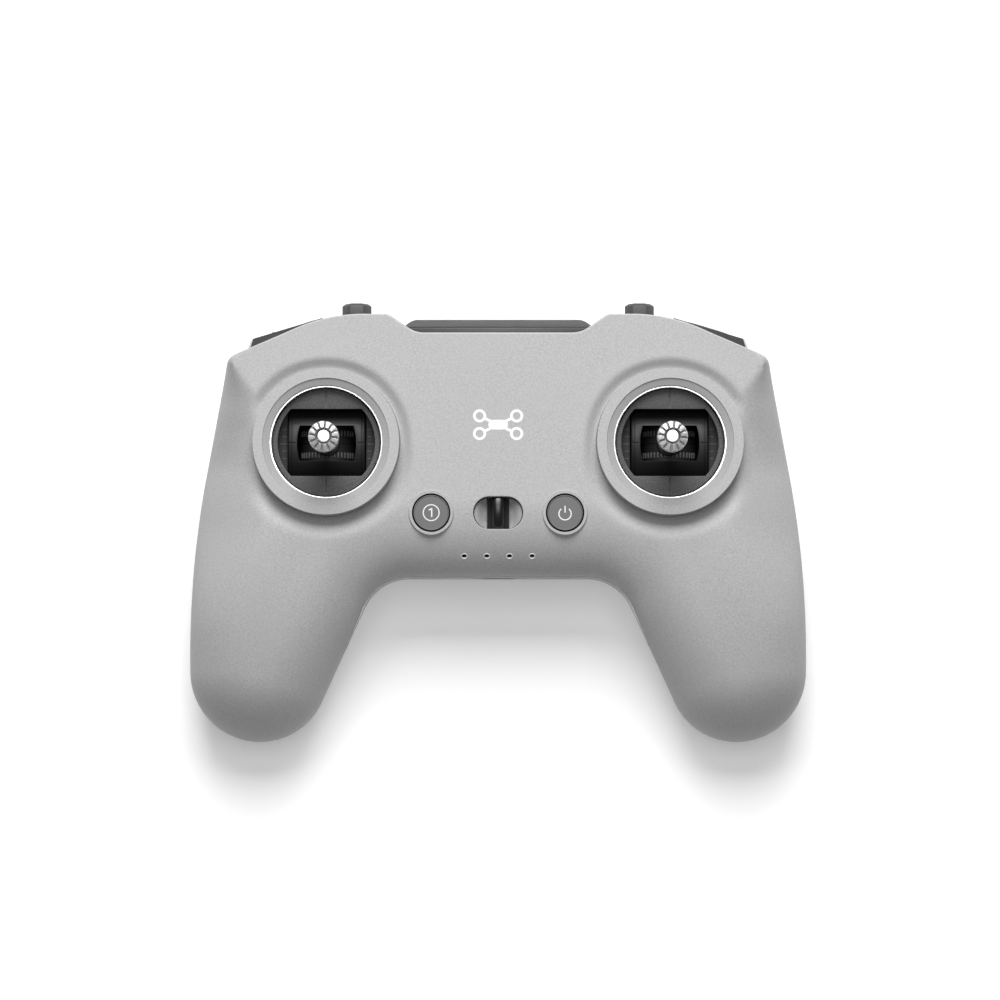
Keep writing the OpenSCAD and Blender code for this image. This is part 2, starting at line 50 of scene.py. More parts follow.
def ease(low, high, value):
    share = np.clip((value - low) / (high - low), 0, 1)
    return share * share * (3 - 2 * share)


def mix(a, b, share):
    return a + (b - a) * share


# Verts in millimetres
def newObject(name, verts, faces, material=None):
    mesh = bpy.data.meshes.new(name)
    mesh.from_pydata([tuple(v) for v in np.asarray(verts, float) * mm], [],
                     [tuple(int(i) for i in f) for f in faces])
    mesh.validate()
    obj = bpy.data.objects.new(name, mesh)
    bpy.context.scene.collection.objects.link(obj)
    if material:
        mesh.materials.append(material)
    mesh.polygons.foreach_set("use_smooth", [True] * len(mesh.polygons))
    return obj


def faceOut(obj):
    bm = bmesh.new()
    bm.from_mesh(obj.data)
    bmesh.ops.remove_doubles(bm, verts=bm.verts, dist=1e-7)
    bmesh.ops.recalc_face_normals(bm, faces=bm.faces)
    bm.to_mesh(obj.data)
    bm.free()
    return obj


# Turns the evaluated object into a plain mesh and drops its modifiers
def settle(obj):
    bpy.context.view_layer.update()
    graph = bpy.context.evaluated_depsgraph_get()
    mesh = bpy.data.meshes.new_from_object(obj.evaluated_get(graph), depsgraph=graph)
    mesh.name = obj.name
    obj.modifiers.clear()
    obj.data = mesh
    return obj


def discard(obj):
    bpy.data.objects.remove(obj, do_unlink=True)


# Smooth faces with hard edges where they meet at more than the angle
def sharpen(obj, angle=35):
    mesh = obj.data
    mesh.polygons.foreach_set("use_smooth", [True] * len(mesh.polygons))
    mesh.set_sharp_from_angle(angle=math.radians(angle))
    return obj


# Takes the cutters from the object one by one, or joins or intersects them with it
def cut(obj, cutters, how="DIFFERENCE"):
    for cutter in cutters:
        step = obj.modifiers.new("cut", "BOOLEAN")
        step.operation = how
        step.solver = "EXACT"
        step.object = cutter
        settle(obj)
        discard(cutter)
    return obj


def bevel(obj, width, segments=2, angle=32):
    step = obj.modifiers.new("edges", "BEVEL")
    step.width = width * mm
    step.segments = segments
    step.limit_method = "ANGLE"
    step.angle_limit = math.radians(angle)
    step.harden_normals = False
    settle(obj)
    return sharpen(obj)


def place(obj, matrix):
    obj.data.transform(matrix)
    return obj


def shift(x, y, z):
    return Matrix.Translation(Vector((x, y, z)) * mm)


def turn(angle, axis):
    return Matrix.Rotation(math.radians(angle), 4, axis)


# Closed ring of a profile of (radius, height); a radius of 0 closes to a pole
def lathe(name, profile, material=None, sides=96, axis="Z"):
    verts, rings = [], []
    for radius, height in profile:
        if radius < 1e-6:
            rings.append([len(verts)] * sides)
            verts.append((0, 0, height))
        else:
            rings.append(list(range(len(verts), len(verts) + sides)))
            for k in range(sides):
                a = 2 * math.pi * k / sides
                verts.append((radius * math.cos(a), radius * math.sin(a), height))
    faces = []
    closed = profile[0][0] > 1e-6 and profile[-1][0] > 1e-6
    pairs = list(zip(rings, rings[1:])) + ([(rings[-1], rings[0])] if closed else [])
    for low, high in pairs:
        for k in range(sides):
            j = (k + 1) % sides
            face = []
            for i in (low[k], low[j], high[j], high[k]):
                if i not in face:
                    face.append(i)
            if len(face) > 2:
                faces.append(face)
    obj = faceOut(newObject(name, verts, faces, material))
    if axis == "X":
        place(obj, turn(90, "Y"))
    if axis == "Y":
        place(obj, turn(-90, "X"))
    return sharpen(obj)


# Plain cylinder that cuts a round hole
def rod(radius, low, high, sides=96, axis="Z"):
    return lathe("cutter", [(0, low), (radius, low), (radius, high), (0, high)], sides=sides, axis=axis)


# Skin over rings of equal point counts, with flat ends
def loft(name, rings, material=None, closed=True):
    count = len(rings[0])
    verts = [p for ring in rings for p in ring]
    faces = []
    for i in range(len(rings) - 1):
        for k in range(count):
            j = (k + 1) % count
            faces.append((i * count + k, i * count + j, (i + 1) * count + j, (i + 1) * count + k))
    if closed:
        faces.append(tuple(range(count))[::-1])
        faces.append(tuple((len(rings) - 1) * count + k for k in range(count)))
    return sharpen(faceOut(newObject(name, verts, faces, material)))


def prism(name, outline, low, high, material=None):
    return loft(name, [[(x, y, low) for x, y in outline], [(x, y, high) for x, y in outline]], material)


def block(name, x0, x1, y0, y1, z0, z1):
    return prism(name, [(x0, y0), (x1, y0), (x1, y1), (x0, y1)], z0, z1)


def circleLoop(x, y, radius, spacing=0.8, least=24):
    count = max(least, int(2 * math.pi * radius / spacing))
    a = np.arange(count) * 2 * math.pi / count
    return np.stack([x + radius * np.cos(a), y + radius * np.sin(a)], 1)


# Stadium outline, long in x, or in y when upright
def slotLoop(x, y, length, width, spacing=0.5, upright=False):
    radius, half = width / 2, (length - width) / 2
    bend = max(8, int(math.pi * radius / spacing))
    line = max(1, int(2 * half / 0.8))
    pts = [(half + radius * math.cos(a), radius * math.sin(a))
           for a in np.linspace(-math.pi / 2, math.pi / 2, bend)]
    pts += [(half - 2 * half * k / line, radius) for k in range(1, line)]
    pts += [(-half + radius * math.cos(a), radius * math.sin(a))
            for a in np.linspace(math.pi / 2, 3 * math.pi / 2, bend)]
    pts += [(-half + 2 * half * k / line, -radius) for k in range(1, line)]
    pts = np.array(pts)
    if upright:
        pts = np.stack([-pts[:, 1], pts[:, 0]], 1)
    return pts + np.array([x, y])


# Last step of every piece: its body and the CAD nodes it stands for
def give(obj, body, slotName, *nodes):
    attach(obj, body)
    if nodes:
        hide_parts(*nodes)
    return obj


# One mesh out of several
def joinAll(name, objects):
    bm = bmesh.new()
    slots = []
    for obj in objects:
        for mat in obj.data.materials:
            if mat not in slots:
                slots.append(mat)
    for obj in objects:
        start = len(bm.faces)
        bm.from_mesh(obj.data)
        bm.faces.ensure_lookup_table()
        own = list(obj.data.materials)
        for face in bm.faces[start:]:
            if own:
                face.material_index = slots.index(own[min(face.material_index, len(own) - 1)])
    mesh = bpy.data.meshes.new(name)
    bm.to_mesh(mesh)
    bm.free()
    for mat in slots:
        mesh.materials.append(mat)
    for obj in objects:
        discard(obj)
    out = bpy.data.objects.new(name, mesh)
    bpy.context.scene.collection.objects.link(out)
    return sharpen(out)


# A short way to write a node tree
class Nodes:
    def __init__(self, name):
        self.material = bpy.data.materials.new(name)
        self.material.use_nodes = True
        self.tree = self.material.node_tree
        self.shader = next(n for n in self.tree.nodes if n.type == "BSDF_PRINCIPLED")
        self.coords = self.tree.nodes.new("ShaderNodeTexCoord").outputs["Object"]

    def add(self, kind, inputs=None, **settings):
        node = self.tree.nodes.new(kind)
        for key, value in settings.items():
            setattr(node, key, value)
        for key, value in (inputs or {}).items():
            self.feed(node, key, value)
        return node

    def feed(self, node, key, value):
        if isinstance(value, bpy.types.NodeSocket):
            self.tree.links.new(value, node.inputs[key])
        else:
            node.inputs[key].default_value = value

    # Size is the grain in millimetres
    def noise(self, size, detail=3.0, stretch=(1, 1, 1)):
        place = self.add("ShaderNodeMapping", {"Vector": self.coords, "Scale": stretch})
        return self.add("ShaderNodeTexNoise", {"Vector": place.outputs[0], "Scale": 1 / (size * mm),
                                               "Detail": detail}).outputs["Fac"]

    def cells(self, size):
        return self.add("ShaderNodeTexVoronoi", {"Vector": self.coords,
                                                 "Scale": 1 / (size * mm)}).outputs["Distance"]

    def spread(self, value, low, high, fromLow=0.0, fromHigh=1.0):
        return self.add("ShaderNodeMapRange", {"Value": value, "From Min": fromLow, "From Max": fromHigh,
                                               "To Min": low, "To Max": high}).outputs[0]

    def blend(self, share, a, b):
        node = self.add("ShaderNodeMix", data_type="RGBA")
        self.feed(node, 0, share)
        self.feed(node, 6, a)
        self.feed(node, 7, b)
        return node.outputs[2]

    # Depth in millimetres
    def relief(self, height, depth, strength=1.0, under=None):
        inputs = {"Height": height, "Distance": depth * mm, "Strength": strength}
        if under is not None:
            inputs["Normal"] = under
        return self.add("ShaderNodeBump", inputs).outputs[0]

    def done(self, colour, roughness, normal=None, metallic=0.0, **fixed):
        self.feed(self.shader, "Base Color", colour)
        self.feed(self.shader, "Roughness", roughness)
        self.shader.inputs["Metallic"].default_value = metallic
        if normal is not None:
            self.tree.links.new(normal, self.shader.inputs["Normal"])
        for key, value in fixed.items():
            self.shader.inputs[key.replace("_", " ")].default_value = value
        return self.material


def grey(value, tint=0.0):
    return (value, value, value * (1 + tint), 1)


# Injection-moulded plastic with a spark-eroded stipple
def mouldedPlastic(name, tone, roughness=0.5, grain=0.35, depth=0.02, speckle=0.06, tint=0.01, specular=0.4):
    m = Nodes(name)
    fine, broad = m.noise(grain, 2.0), m.noise(14, 2.0)
    pits = m.cells(grain * 1.6)
    shade = m.blend(m.spread(fine, 0, 1, 0.3, 0.7), grey(tone * (1 - speckle), tint),
                    grey(tone * (1 + speckle), tint))
    colour = m.blend(m.spread(broad, 0, 1, 0.35, 0.65), shade, grey(tone * 1.02, tint))
    colourNode = m.blend(0.3, shade, colour)
    first = m.relief(pits, depth, 0.5)
    normal = m.relief(fine, depth * 0.8, 0.6, first)
    return m.done(colourNode, m.spread(fine, roughness - 0.06, roughness + 0.08), normal,
                  Specular_IOR_Level=specular)


# Polished or satin plastic with faint handling marks
def smoothPlastic(name, tone, roughness=0.35, tint=0.01, specular=0.5):
    m = Nodes(name)
    smear, fine = m.noise(3.5, 4.0), m.noise(0.25, 1.0)
    colour = m.blend(m.spread(fine, 0, 1, 0.3, 0.7), grey(tone * 0.94, tint), grey(tone * 1.06, tint))
    normal = m.relief(fine, 0.004, 0.35)
    return m.done(colour, m.spread(smear, roughness - 0.05, roughness + 0.1), normal,
                  Specular_IOR_Level=specular)


# Metal with fine tool marks round its axis
def turnedMetal(name, tone, roughness=0.3, tint=0.01, lines=0.12):
    m = Nodes(name)
    marks = m.noise(lines, 2.0, (0.15, 0.15, 1))
    cloud = m.noise(2.0, 3.0)
    colour = m.blend(m.spread(cloud, 0, 1, 0.3, 0.7), grey(tone * 0.95, tint), grey(tone, tint))
    return m.done(colour, m.spread(marks, roughness - 0.06, roughness + 0.1), m.relief(marks, 0.006, 0.4),
                  1.0)


def rubber(name, tone):
    m = Nodes(name)
    fine, dust = m.noise(0.3, 3.0), m.noise(6, 4.0)
    colour = m.blend(m.spread(dust, 0, 1, 0.35, 0.7), grey(tone), grey(tone * 1.25))
    return m.done(colour, m.spread(fine, 0.68, 0.88), m.relief(fine, 0.02, 0.6), Specular_IOR_Level=0.25)


def circuitBoard(name):
    m = Nodes(name)
    tracks = m.add("ShaderNodeTexBrick", {"Vector": m.coords, "Scale": 260.0, "Mortar Size": 0.03,
                                          "Color1": (0.02, 0.16, 0.07, 1), "Color2": (0.025, 0.19, 0.09, 1),
                                          "Mortar": (0.06, 0.32, 0.16, 1)})
    fine = m.noise(0.5, 2.0)
    colour = m.blend(m.spread(fine, 0, 0.25), tracks.outputs["Color"], (0.01, 0.1, 0.05, 1))
    return m.done(colour, m.spread(fine, 0.25, 0.4), m.relief(tracks.outputs["Fac"], 0.03, 0.5))


def shrinkWrap(name):
    m = Nodes(name)
    fine = m.noise(1.2, 3.0, (0.3, 1, 1))
    colour = m.blend(m.spread(fine, 0, 1, 0.3, 0.7), (0.03, 0.12, 0.32, 1), (0.05, 0.17, 0.4, 1))
    return m.done(colour, m.spread(fine, 0.2, 0.4), m.relief(fine, 0.03, 0.4))


finish = {
    "casing": dict(tone=0.44, roughness=0.56, grain=0.42, depth=0.03, speckle=0.13, specular=0.3),
    # pale finish, a painted highlight on the notch ledge and the lips round the light holes
    "edge": dict(tone=0.8, roughness=0.4, grain=0.3, depth=0.01, speckle=0.05),
    # darker finish, painted shade on the collar's inner slope
    "cone": dict(tone=0.37, roughness=0.6, grain=0.42, depth=0.02, speckle=0.08, specular=0.3),
    "darkTrim": dict(tone=0.04, roughness=0.34),
    "plate": dict(tone=0.075, roughness=0.62, grain=0.4, depth=0.05, speckle=0.5),
    "drum": dict(tone=0.01, roughness=0.5, specular=0.35),
    "button": dict(tone=0.165, roughness=0.5, specular=0.35),
}
casingGrey = mouldedPlastic("casing stippled grey", **finish["casing"])
# Darker casing plastic as painted shade on each collar's inner slope
coneShadeGrey = mouldedPlastic("collar slope grey", **finish["cone"])
# Near-black plastic as painted shadow in holes, gaps and wells
shadowPlastic = smoothPlastic("dark liner", 0.012, 0.7)
darkTrim = smoothPlastic("dark trim satin", **finish["darkTrim"])
plateBlack = mouldedPlastic("gimbal plate texture", **finish["plate"])
drumBlack = smoothPlastic("gimbal drum black", **finish["drum"])
buttonGrey = smoothPlastic("button grey satin", **finish["button"])
recessGrey = smoothPlastic("recess grey", 0.42, 0.5)
toggleGrey = smoothPlastic("toggle grey", 0.055, 0.46, specular=0.4)
coverDark = smoothPlastic("cover dark satin", 0.03, 0.42, specular=0.4)
bezelDark = smoothPlastic("bezel dark matt", 0.04, 0.6, specular=0.2)
strapBlack = smoothPlastic("lanyard bar black", 0.012, 0.26)
# Pale casing plastic as a painted highlight: the notch ledge and the lips round the light holes
paintedHighlightPlastic = mouldedPlastic("casing edge", **finish["edge"])
blackPlastic = smoothPlastic("black nylon", 0.02, 0.5)
markWhite = smoothPlastic("printed white", 0.86, 0.45, 0.0)
brightRing = turnedMetal("polished trim ring", 0.97, 0.3, 0.0)
capMetal = turnedMetal("stick cap aluminium", 0.5, 0.46, 0.0)
pinMetal = turnedMetal("stick pin bright", 0.96, 0.4, 0.0)
# Darker metal as painted shade in the grooves between the cap's petals
capGrooveShade = turnedMetal("stick cap grooves", 0.2, 0.6, 0.0)
shaftMetal = turnedMetal("stick shaft", 0.38, 0.4)
steel = turnedMetal("screw steel", 0.45, 0.32)
inlayRubber = rubber("grip inlay rubber", 0.045)
plugRubber = rubber("adjuster plug rubber", 0.04)
boardGreen = circuitBoard("circuit board")
cellWrap = shrinkWrap("cell wrap")
pipeClear = smoothPlastic("light pipe", 0.006, 0.6, specular=0.2)
slotMaterial = {"casing_grey": casingGrey, "dark_trim": darkTrim, "circuit_board": boardGreen,
                "rubber_dark": inlayRubber, "steel": steel, "black_plastic": blackPlastic,
                "light_guide": pipeClear, "cell_wrap": cellWrap, "recess_grey": recessGrey,
                "cover_plate": plateBlack, "bright_ring": brightRing, "stick_metal": capMetal,
                "button_grey": buttonGrey}
for part in frame["record"]["subparts"]:
    node = frame["nodes"][part["node"]]
    node.data.materials.clear()
    node.data.materials.append(slotMaterial[part["material_slot"]])
print("materials made")


# An empty tree with its named inputs, each a socket type or a type and a value
def newTree(name, sockets):
    tree = bpy.data.node_groups.new(name, "GeometryNodeTree")
    for label, (kind, *value) in sockets.items():
        item = tree.interface.new_socket(name=label, in_out="INPUT", socket_type="NodeSocket" + kind)
        if value:
            item.default_value = value[0]
    tree.interface.new_socket(name="Geometry", in_out="OUTPUT", socket_type="NodeSocketGeometry")
    return tree


# Copies of a piece round an axis through its origin, then put in place
def ringTree():
    tree = newTree("ring of copies", {"Geometry": ("Geometry",), "Count": ("Int", 12),
                                      "Turn": ("Float", 0.0), "Sweep": ("Float", 2 * math.pi),
                                      "Centre": ("Vector",), "Tilt": ("Vector",),
                                      "Material": ("Material",)})
    add = tree.nodes.new
    start, end = add("NodeGroupInput"), add("NodeGroupOutput")
    points, index = add("GeometryNodePoints"), add("GeometryNodeInputIndex")
    step, angle, spin = add("ShaderNodeMath"), add("ShaderNodeMath"), add("ShaderNodeCombineXYZ")
    step.operation, angle.operation = "DIVIDE", "MULTIPLY_ADD"
    copies, real = add("GeometryNodeInstanceOnPoints"), add("GeometryNodeRealizeInstances")
    move, paint = add("GeometryNodeTransform"), add("GeometryNodeSetMaterial")
    wires = [
        (start.outputs["Count"], points.inputs["Count"]),
        (start.outputs["Sweep"], step.inputs[0]),
        (start.outputs["Count"], step.inputs[1]),
        (index.outputs[0], angle.inputs[0]),
        (step.outputs[0], angle.inputs[1]),
        (start.outputs["Turn"], angle.inputs[2]),
        (angle.outputs[0], spin.inputs["Z"]),
        (points.outputs[0], copies.inputs["Points"]),
        (start.outputs["Geometry"], copies.inputs["Instance"]),
        (spin.outputs[0], copies.inputs["Rotation"]),
        (copies.outputs[0], move.inputs["Geometry"]),
        (start.outputs["Centre"], move.inputs["Translation"]),
        (start.outputs["Tilt"], move.inputs["Rotation"]),
        (move.outputs[0], real.inputs[0]),
        (real.outputs[0], paint.inputs["Geometry"]),
        (start.outputs["Material"], paint.inputs["Material"]),
        (paint.outputs[0], end.inputs[0]),
    ]
    for wire in wires:
        tree.links.new(*wire)
    return tree


# Copies of a piece on the vertices of the object, turned by its spin attribute
def pointTree():
    tree = newTree("copies on points", {
        "Geometry": ("Geometry",), "Piece": ("Object",), "Size": ("Float", 1.0), "Material": ("Material",)})
    add = tree.nodes.new
    start, end = add("NodeGroupInput"), add("NodeGroupOutput")
    item, spin = add("GeometryNodeObjectInfo"), add("GeometryNodeInputNamedAttribute")
    spin.data_type = "FLOAT_VECTOR"
    spin.inputs["Name"].default_value = "spin"
    copies, real = add("GeometryNodeInstanceOnPoints"), add("GeometryNodeRealizeInstances")
    paint = add("GeometryNodeSetMaterial")
    wires = [
        (start.outputs["Geometry"], copies.inputs["Points"]),
        (start.outputs["Piece"], item.inputs["Object"]),
        (item.outputs["Geometry"], copies.inputs["Instance"]),
        (spin.outputs[0], copies.inputs["Rotation"]),
        (start.outputs["Size"], copies.inputs["Scale"]),
        (copies.outputs[0], real.inputs[0]),
        (real.outputs[0], paint.inputs["Geometry"]),
        (start.outputs["Material"], paint.inputs["Material"]),
        (paint.outputs[0], end.inputs[0]),
    ]
    for wire in wires:
        tree.links.new(*wire)
    return tree


ringOfCopies, copiesOnPoints = ringTree(), pointTree()


def runTree(obj, tree, values):
    step = obj.modifiers.new("nodes", "NODES")
    step.node_group = tree
    named = {s.name: s.identifier for s in tree.interface.items_tree
             if s.item_type == "SOCKET" and s.in_out == "INPUT"}
    for key, value in values.items():
        step[named[key]] = value
    return sharpen(settle(obj))


def ringCopies(obj, count, centre, material, turned=0.0, tilt=(0, 0, 0), sweep=360):
    return runTree(obj, ringOfCopies, {
        "Count": count, "Turn": math.radians(turned), "Sweep": math.radians(sweep),
        "Centre": [c * mm for c in centre], "Tilt": [math.radians(t) for t in tilt], "Material": material})


# Points in millimetres, spins in degrees
def pointCopies(name, piece, points, material, spins=None):
    obj = newObject(name, points, [])
    if spins is not None:
        spin = obj.data.attributes.new("spin", "FLOAT_VECTOR", "POINT")
        spin.data.foreach_set("vector", np.radians(np.asarray(spins, float)).ravel())
    out = runTree(obj, copiesOnPoints, {"Piece": piece, "Size": 1.0, "Material": material})
    discard(piece)
    return out


# Casing
casing = {"halfWidth": 82.5, "faceHeight": 40.0, "wall": 2.2, "partHeight": 24.0, "partBend": 0.0026,
          "partBendFrom": 9.5, "faceBend": 0.0035, "faceBendFrom": 4.5, "rearHeight": 6.0, "gripLow": 0.6,
          "gap": 0.1, "hump": (0, 25, 36, 21, 8), "gripBulge": (62, -26.5, 21, 31, 13), "lip": 0.25,
          "grain": 1.05, "top": 50.1, "notch": -15.6, "topRound": 0.9, "straight": 0.85, "slopePower": 1.45,
          "ledge": 0.42, "riser": 4.6, "draft": 0.55}
outlineCorners = [(21.9, 50.1, 7), (29.1, 55.1, 3), (45.3, 55.1, 45), (72.2, 43.2, 4),
                  (casing["halfWidth"], -13.3, 280), (casing["halfWidth"], -58.9, 18.4),
                  (52.3, -58.9, 18.4), (32, -15.6, 13)]
wells = {"x": 45.5, "y": 19.9, "hole": 14.92, "outer": 19.35, "flat": 16.8, "high": 3.2, "moat": 3.7,
         "moatLow": 6.6, "moatDepth": 2.1, "wallRun": 0.25, "coneDrop": 1.05, "coneStep": 0.32}
keys = {"x": 17.7, "y": 1.2, "radius": 4.85, "hole": 5.1, "rim": 5.78, "foot": 6.1, "tilt": 4.52,
        "proud": 0.3}
slotSize = {"x": 0, "y": 1.2, "length": 13.1, "width": 8.5}
inlay = {"x": 62, "y": -26.5, "length": 36, "width": 16, "gap": 0.3, "depth": 1.45, "ribs": 13, "pitch": 2.3}


def cornerArc(before, corner, after, spacing):
    a, b, c = (np.array(p[:2], float) for p in (before, corner, after))
    radius = corner[2]
    u, v = (a - b) / np.linalg.norm(a - b), (c - b) / np.linalg.norm(c - b)
    inner = math.acos(np.clip(u @ v, -1, 1))
    centre = b + (u + v) / np.linalg.norm(u + v) * radius / math.sin(inner / 2)
    s, e = b + u * radius / math.tan(inner / 2) - centre, b + v * radius / math.tan(inner / 2) - centre
    a0, sweep = math.atan2(s[1], s[0]), math.atan2(s[0] * e[1] - s[1] * e[0], s @ e)
    count = max(4, math.ceil(abs(sweep) * radius / spacing))
    return [centre + radius * np.array([math.cos(a0 + sweep * k / count), math.sin(a0 + sweep * k / count)])
            for k in range(count + 1)]


def roundedLoop(corners, spacing=0.5):
    n = len(corners)
    return [tuple(p) for i in range(n) for p in cornerArc(corners[i - 1], corners[i], corners[(i + 1) % n],
                                                          spacing)]


# Adds points so that no side is longer than the spacing
def evenLoop(points, spacing):
    out = []
    for a, b in zip(points, np.roll(points, -1, 0)):
        parts = max(1, math.ceil(np.linalg.norm(b - a) / spacing))
        out += [a + (b - a) * k / parts for k in range(parts)]
    return np.array(out)


def casingOutline(spacing=0.7):
    ring = [(0, casing["top"], 0)] + outlineCorners + [(0, casing["notch"], 0)]
    half = [np.array(ring[0][:2], float)]
    for i in range(1, len(ring) - 1):
        half += cornerArc(ring[i - 1], ring[i], ring[i + 1], spacing)
    half.append(np.array(ring[-1][:2], float))
    half = np.array(half)
    mirrored = half[-2:0:-1] * np.array([-1, 1])
    return evenLoop(np.concatenate([half, mirrored]), spacing)[::-1]  # anticlockwise


# Unit normals of an anticlockwise loop, pointing in
def inwards(loop):
    along = np.roll(loop, -1, 0) - np.roll(loop, 1, 0)
    along /= np.linalg.norm(along, axis=1)[:, None]
    return np.stack([-along[:, 1], along[:, 0]], 1)


outline = casingOutline()


def edgeDistance(points, loop=outline, gradient=False):
    a, b = loop, np.roll(loop, -1, 0)
    ab = b - a
    size = (ab * ab).sum(1)
    best, away = [], []
    for start in range(0, len(points), 1500):
        p = points[start:start + 1500]
        ap = p[:, None] - a[None]
        t = np.clip((ap * ab).sum(2) / size, 0, 1)
        gap = ap - t[..., None] * ab
        d = np.sqrt((gap * gap).sum(2))
        i = d.argmin(1)
        best.append(d[np.arange(len(p)), i])
        away.append(gap[np.arange(len(p)), i])
    best, away = np.concatenate(best), np.concatenate(away)
    if not gradient:
        return best
    small = best < 1e-4
    direction = away / np.maximum(best, 1e-9)[:, None]
    if small.any():  # on the outline itself
        normals = inwards(loop)
        for k in np.nonzero(small)[0]:
            direction[k] = normals[((loop - points[k]) ** 2).sum(1).argmin()]
    return best, direction


def insideLoop(points, loop):
    x, y = points[:, 0], points[:, 1]
    inside = np.zeros(len(points), bool)
    for (x0, y0), (x1, y1) in zip(loop, np.roll(loop, -1, 0)):
        if y0 != y1:
            inside ^= ((y0 > y) != (y1 > y)) & (x < (x1 - x0) * (y - y0) / (y1 - y0) + x0)
    return inside


# Edge of the lanyard recess, grown all round
def slotEdge(grow=0):
    return slotLoop(slotSize["x"], slotSize["y"], slotSize["length"] + 2 * grow, slotSize["width"] + 2 * grow)


# Quarter-round profile, mixed with a straighter slope
def rounding(share, straight=0.0):
    rest = 1 - np.clip(share, 0, 1)
    return mix(np.sqrt(np.maximum(0, 1 - rest ** 2)), 1 - rest ** casing["slopePower"], straight)


def flank(x, y):
    return casing["straight"] * ease(44, 60, x) * ease(-30, 0, y) * (1 - ease(12, 30, y))


# Narrow step along the edge of the notch
def ledge(x, y):
    return casing["ledge"] * (1 - ease(36, 44, x)) * ease(4, -4, y)


def plateau(x, y, box):
    return ease(0, box[4], box[2] - np.abs(x - box[0])) * ease(0, box[4], box[3] - np.abs(y - box[1]))


def partingHeight(y):
    return casing["partHeight"] - casing["partBend"] * np.maximum(0, casing["partBendFrom"] - y) ** 2


def faceLevel(y):
    return casing["faceHeight"] - casing["faceBend"] * np.maximum(0, casing["faceBendFrom"] - y) ** 2


def backLevel(x, y):
    rear, low = casing["rearHeight"], casing["gripLow"]
    return rear - rear * plateau(x, y, casing["hump"]) - (rear - low) * plateau(x, y, casing["gripBulge"])


def faceRound(x, y):
    side = mix(mix(16.5, 18.5, ease(-20, 0, y)), casing["topRound"], ease(22, 45, y))
    return mix(side, 20, (1 - ease(28, 44, x)) * (1 - ease(4, 20, y)))


def backRound(x, y):
    return mix(mix(9, 14, ease(26, 44, x)), 5, ease(30, 46, y))


# Height, and normal in millimetres, of the plain front or rear casing over the points
def baseSurface(points, front):
    x, y = np.abs(points[:, 0]), points[:, 1]
    d, inner = edgeDistance(points, gradient=True)
    part = partingHeight(y) - (0 if front else casing["gap"])
    level = faceLevel(y) if front else backLevel(x, y)
    width = faceRound(x, y) if front else backRound(x, y)
    step = ledge(x, y) if front else 0.0
    share = np.clip((d - step) / width, 0, 1)
    straight = flank(x, y) if front else 0.0
    foot = part + casing["riser"] * step / casing["ledge"]
    z = np.where(d > 1e-4, mix(foot, level, rounding(share, straight)), part)
    rest = 1 - share
    power = casing["slopePower"]
    slope = np.abs(level - foot) / width * mix(rest / np.sqrt(np.maximum(1 - rest * rest, 1e-8)),
                                               power * rest ** (power - 1), straight)
    up = 1 if front else -1
    bend = np.zeros(len(points))
    if front:
        bend = -2 * casing["faceBend"] * np.maximum(0, casing["faceBendFrom"] - y) * rounding(share)
    n = np.stack([-inner[:, 0] * slope, -inner[:, 1] * slope + bend, np.full(len(points), float(up))], 1)
    return z, n / np.linalg.norm(n, axis=1)[:, None], d


# Flat face of a button's rim, tilted with the button
def keyPlane(points):
    z0 = baseSurface(np.array([[keys["x"], keys["y"]]]), True)[0][0]
    return z0 + keys["proud"] + (points[:, 1] - keys["y"]) * math.tan(math.radians(keys["tilt"]))


def frontSurface(points):
    z, n, d = baseSurface(points, True)
    reach = ease(0.5, 1.0, d / faceRound(np.abs(points[:, 0]), points[:, 1]))
    for side in (-1, 1):
        r = np.hypot(points[:, 0] - side * wells["x"], points[:, 1] - wells["y"])
        top = casing["faceHeight"] + wells["high"]
        out = r - wells["outer"]
        low = ease(-0.1, 0.75, (wells["y"] - points[:, 1]) / np.maximum(r, 1))
        wide = mix(wells["moat"], wells["moatLow"], low)
        moat = z - wells["moatDepth"] * reach * (1 - ease(0.35, wide, out))
        wall = mix(top, moat, np.clip(out / wells["wallRun"], 0, 1))
        z = np.where(out < wide, wall, z)
        cone = mix(top - wells["coneDrop"], top - wells["coneStep"],
                   (r - wells["hole"]) / (wells["flat"] - 0.08 - wells["hole"]))
        z = np.where(out <= 0, np.where(r < wells["flat"] - 0.04, cone, top), z)
        k = np.hypot(points[:, 0] - side * keys["x"], points[:, 1] - keys["y"])
        plane = keyPlane(points)
        fall = np.clip((k - keys["rim"]) / (keys["foot"] - keys["rim"]), 0, 1)
        rim = mix(plane, np.minimum(z, plane), fall)
        z = np.where(k < keys["foot"], rim, z)
    slotGap = edgeDistance(points, slotEdge())
    z = z - 0.25 * (1 - rounding(slotGap / 0.25)) * (slotGap < 0.25)
    return z, n


def inlayLoop(side, grow):
    return slotLoop(side * inlay["x"], inlay["y"], inlay["length"] + grow, inlay["width"] + grow,
                    upright=True)


def rearSurface(points):
    z, n, _ = baseSurface(points, False)
    x, y = np.abs(points[:, 0]), points[:, 1]
    folded = np.stack([x, y], 1)
    seat = inlayLoop(1, inlay["gap"])
    sunk = ease(0.0, 0.15, edgeDistance(folded, seat))
    z = z + inlay["depth"] * np.where(insideLoop(folded, seat), sunk, 0)
    return z, n


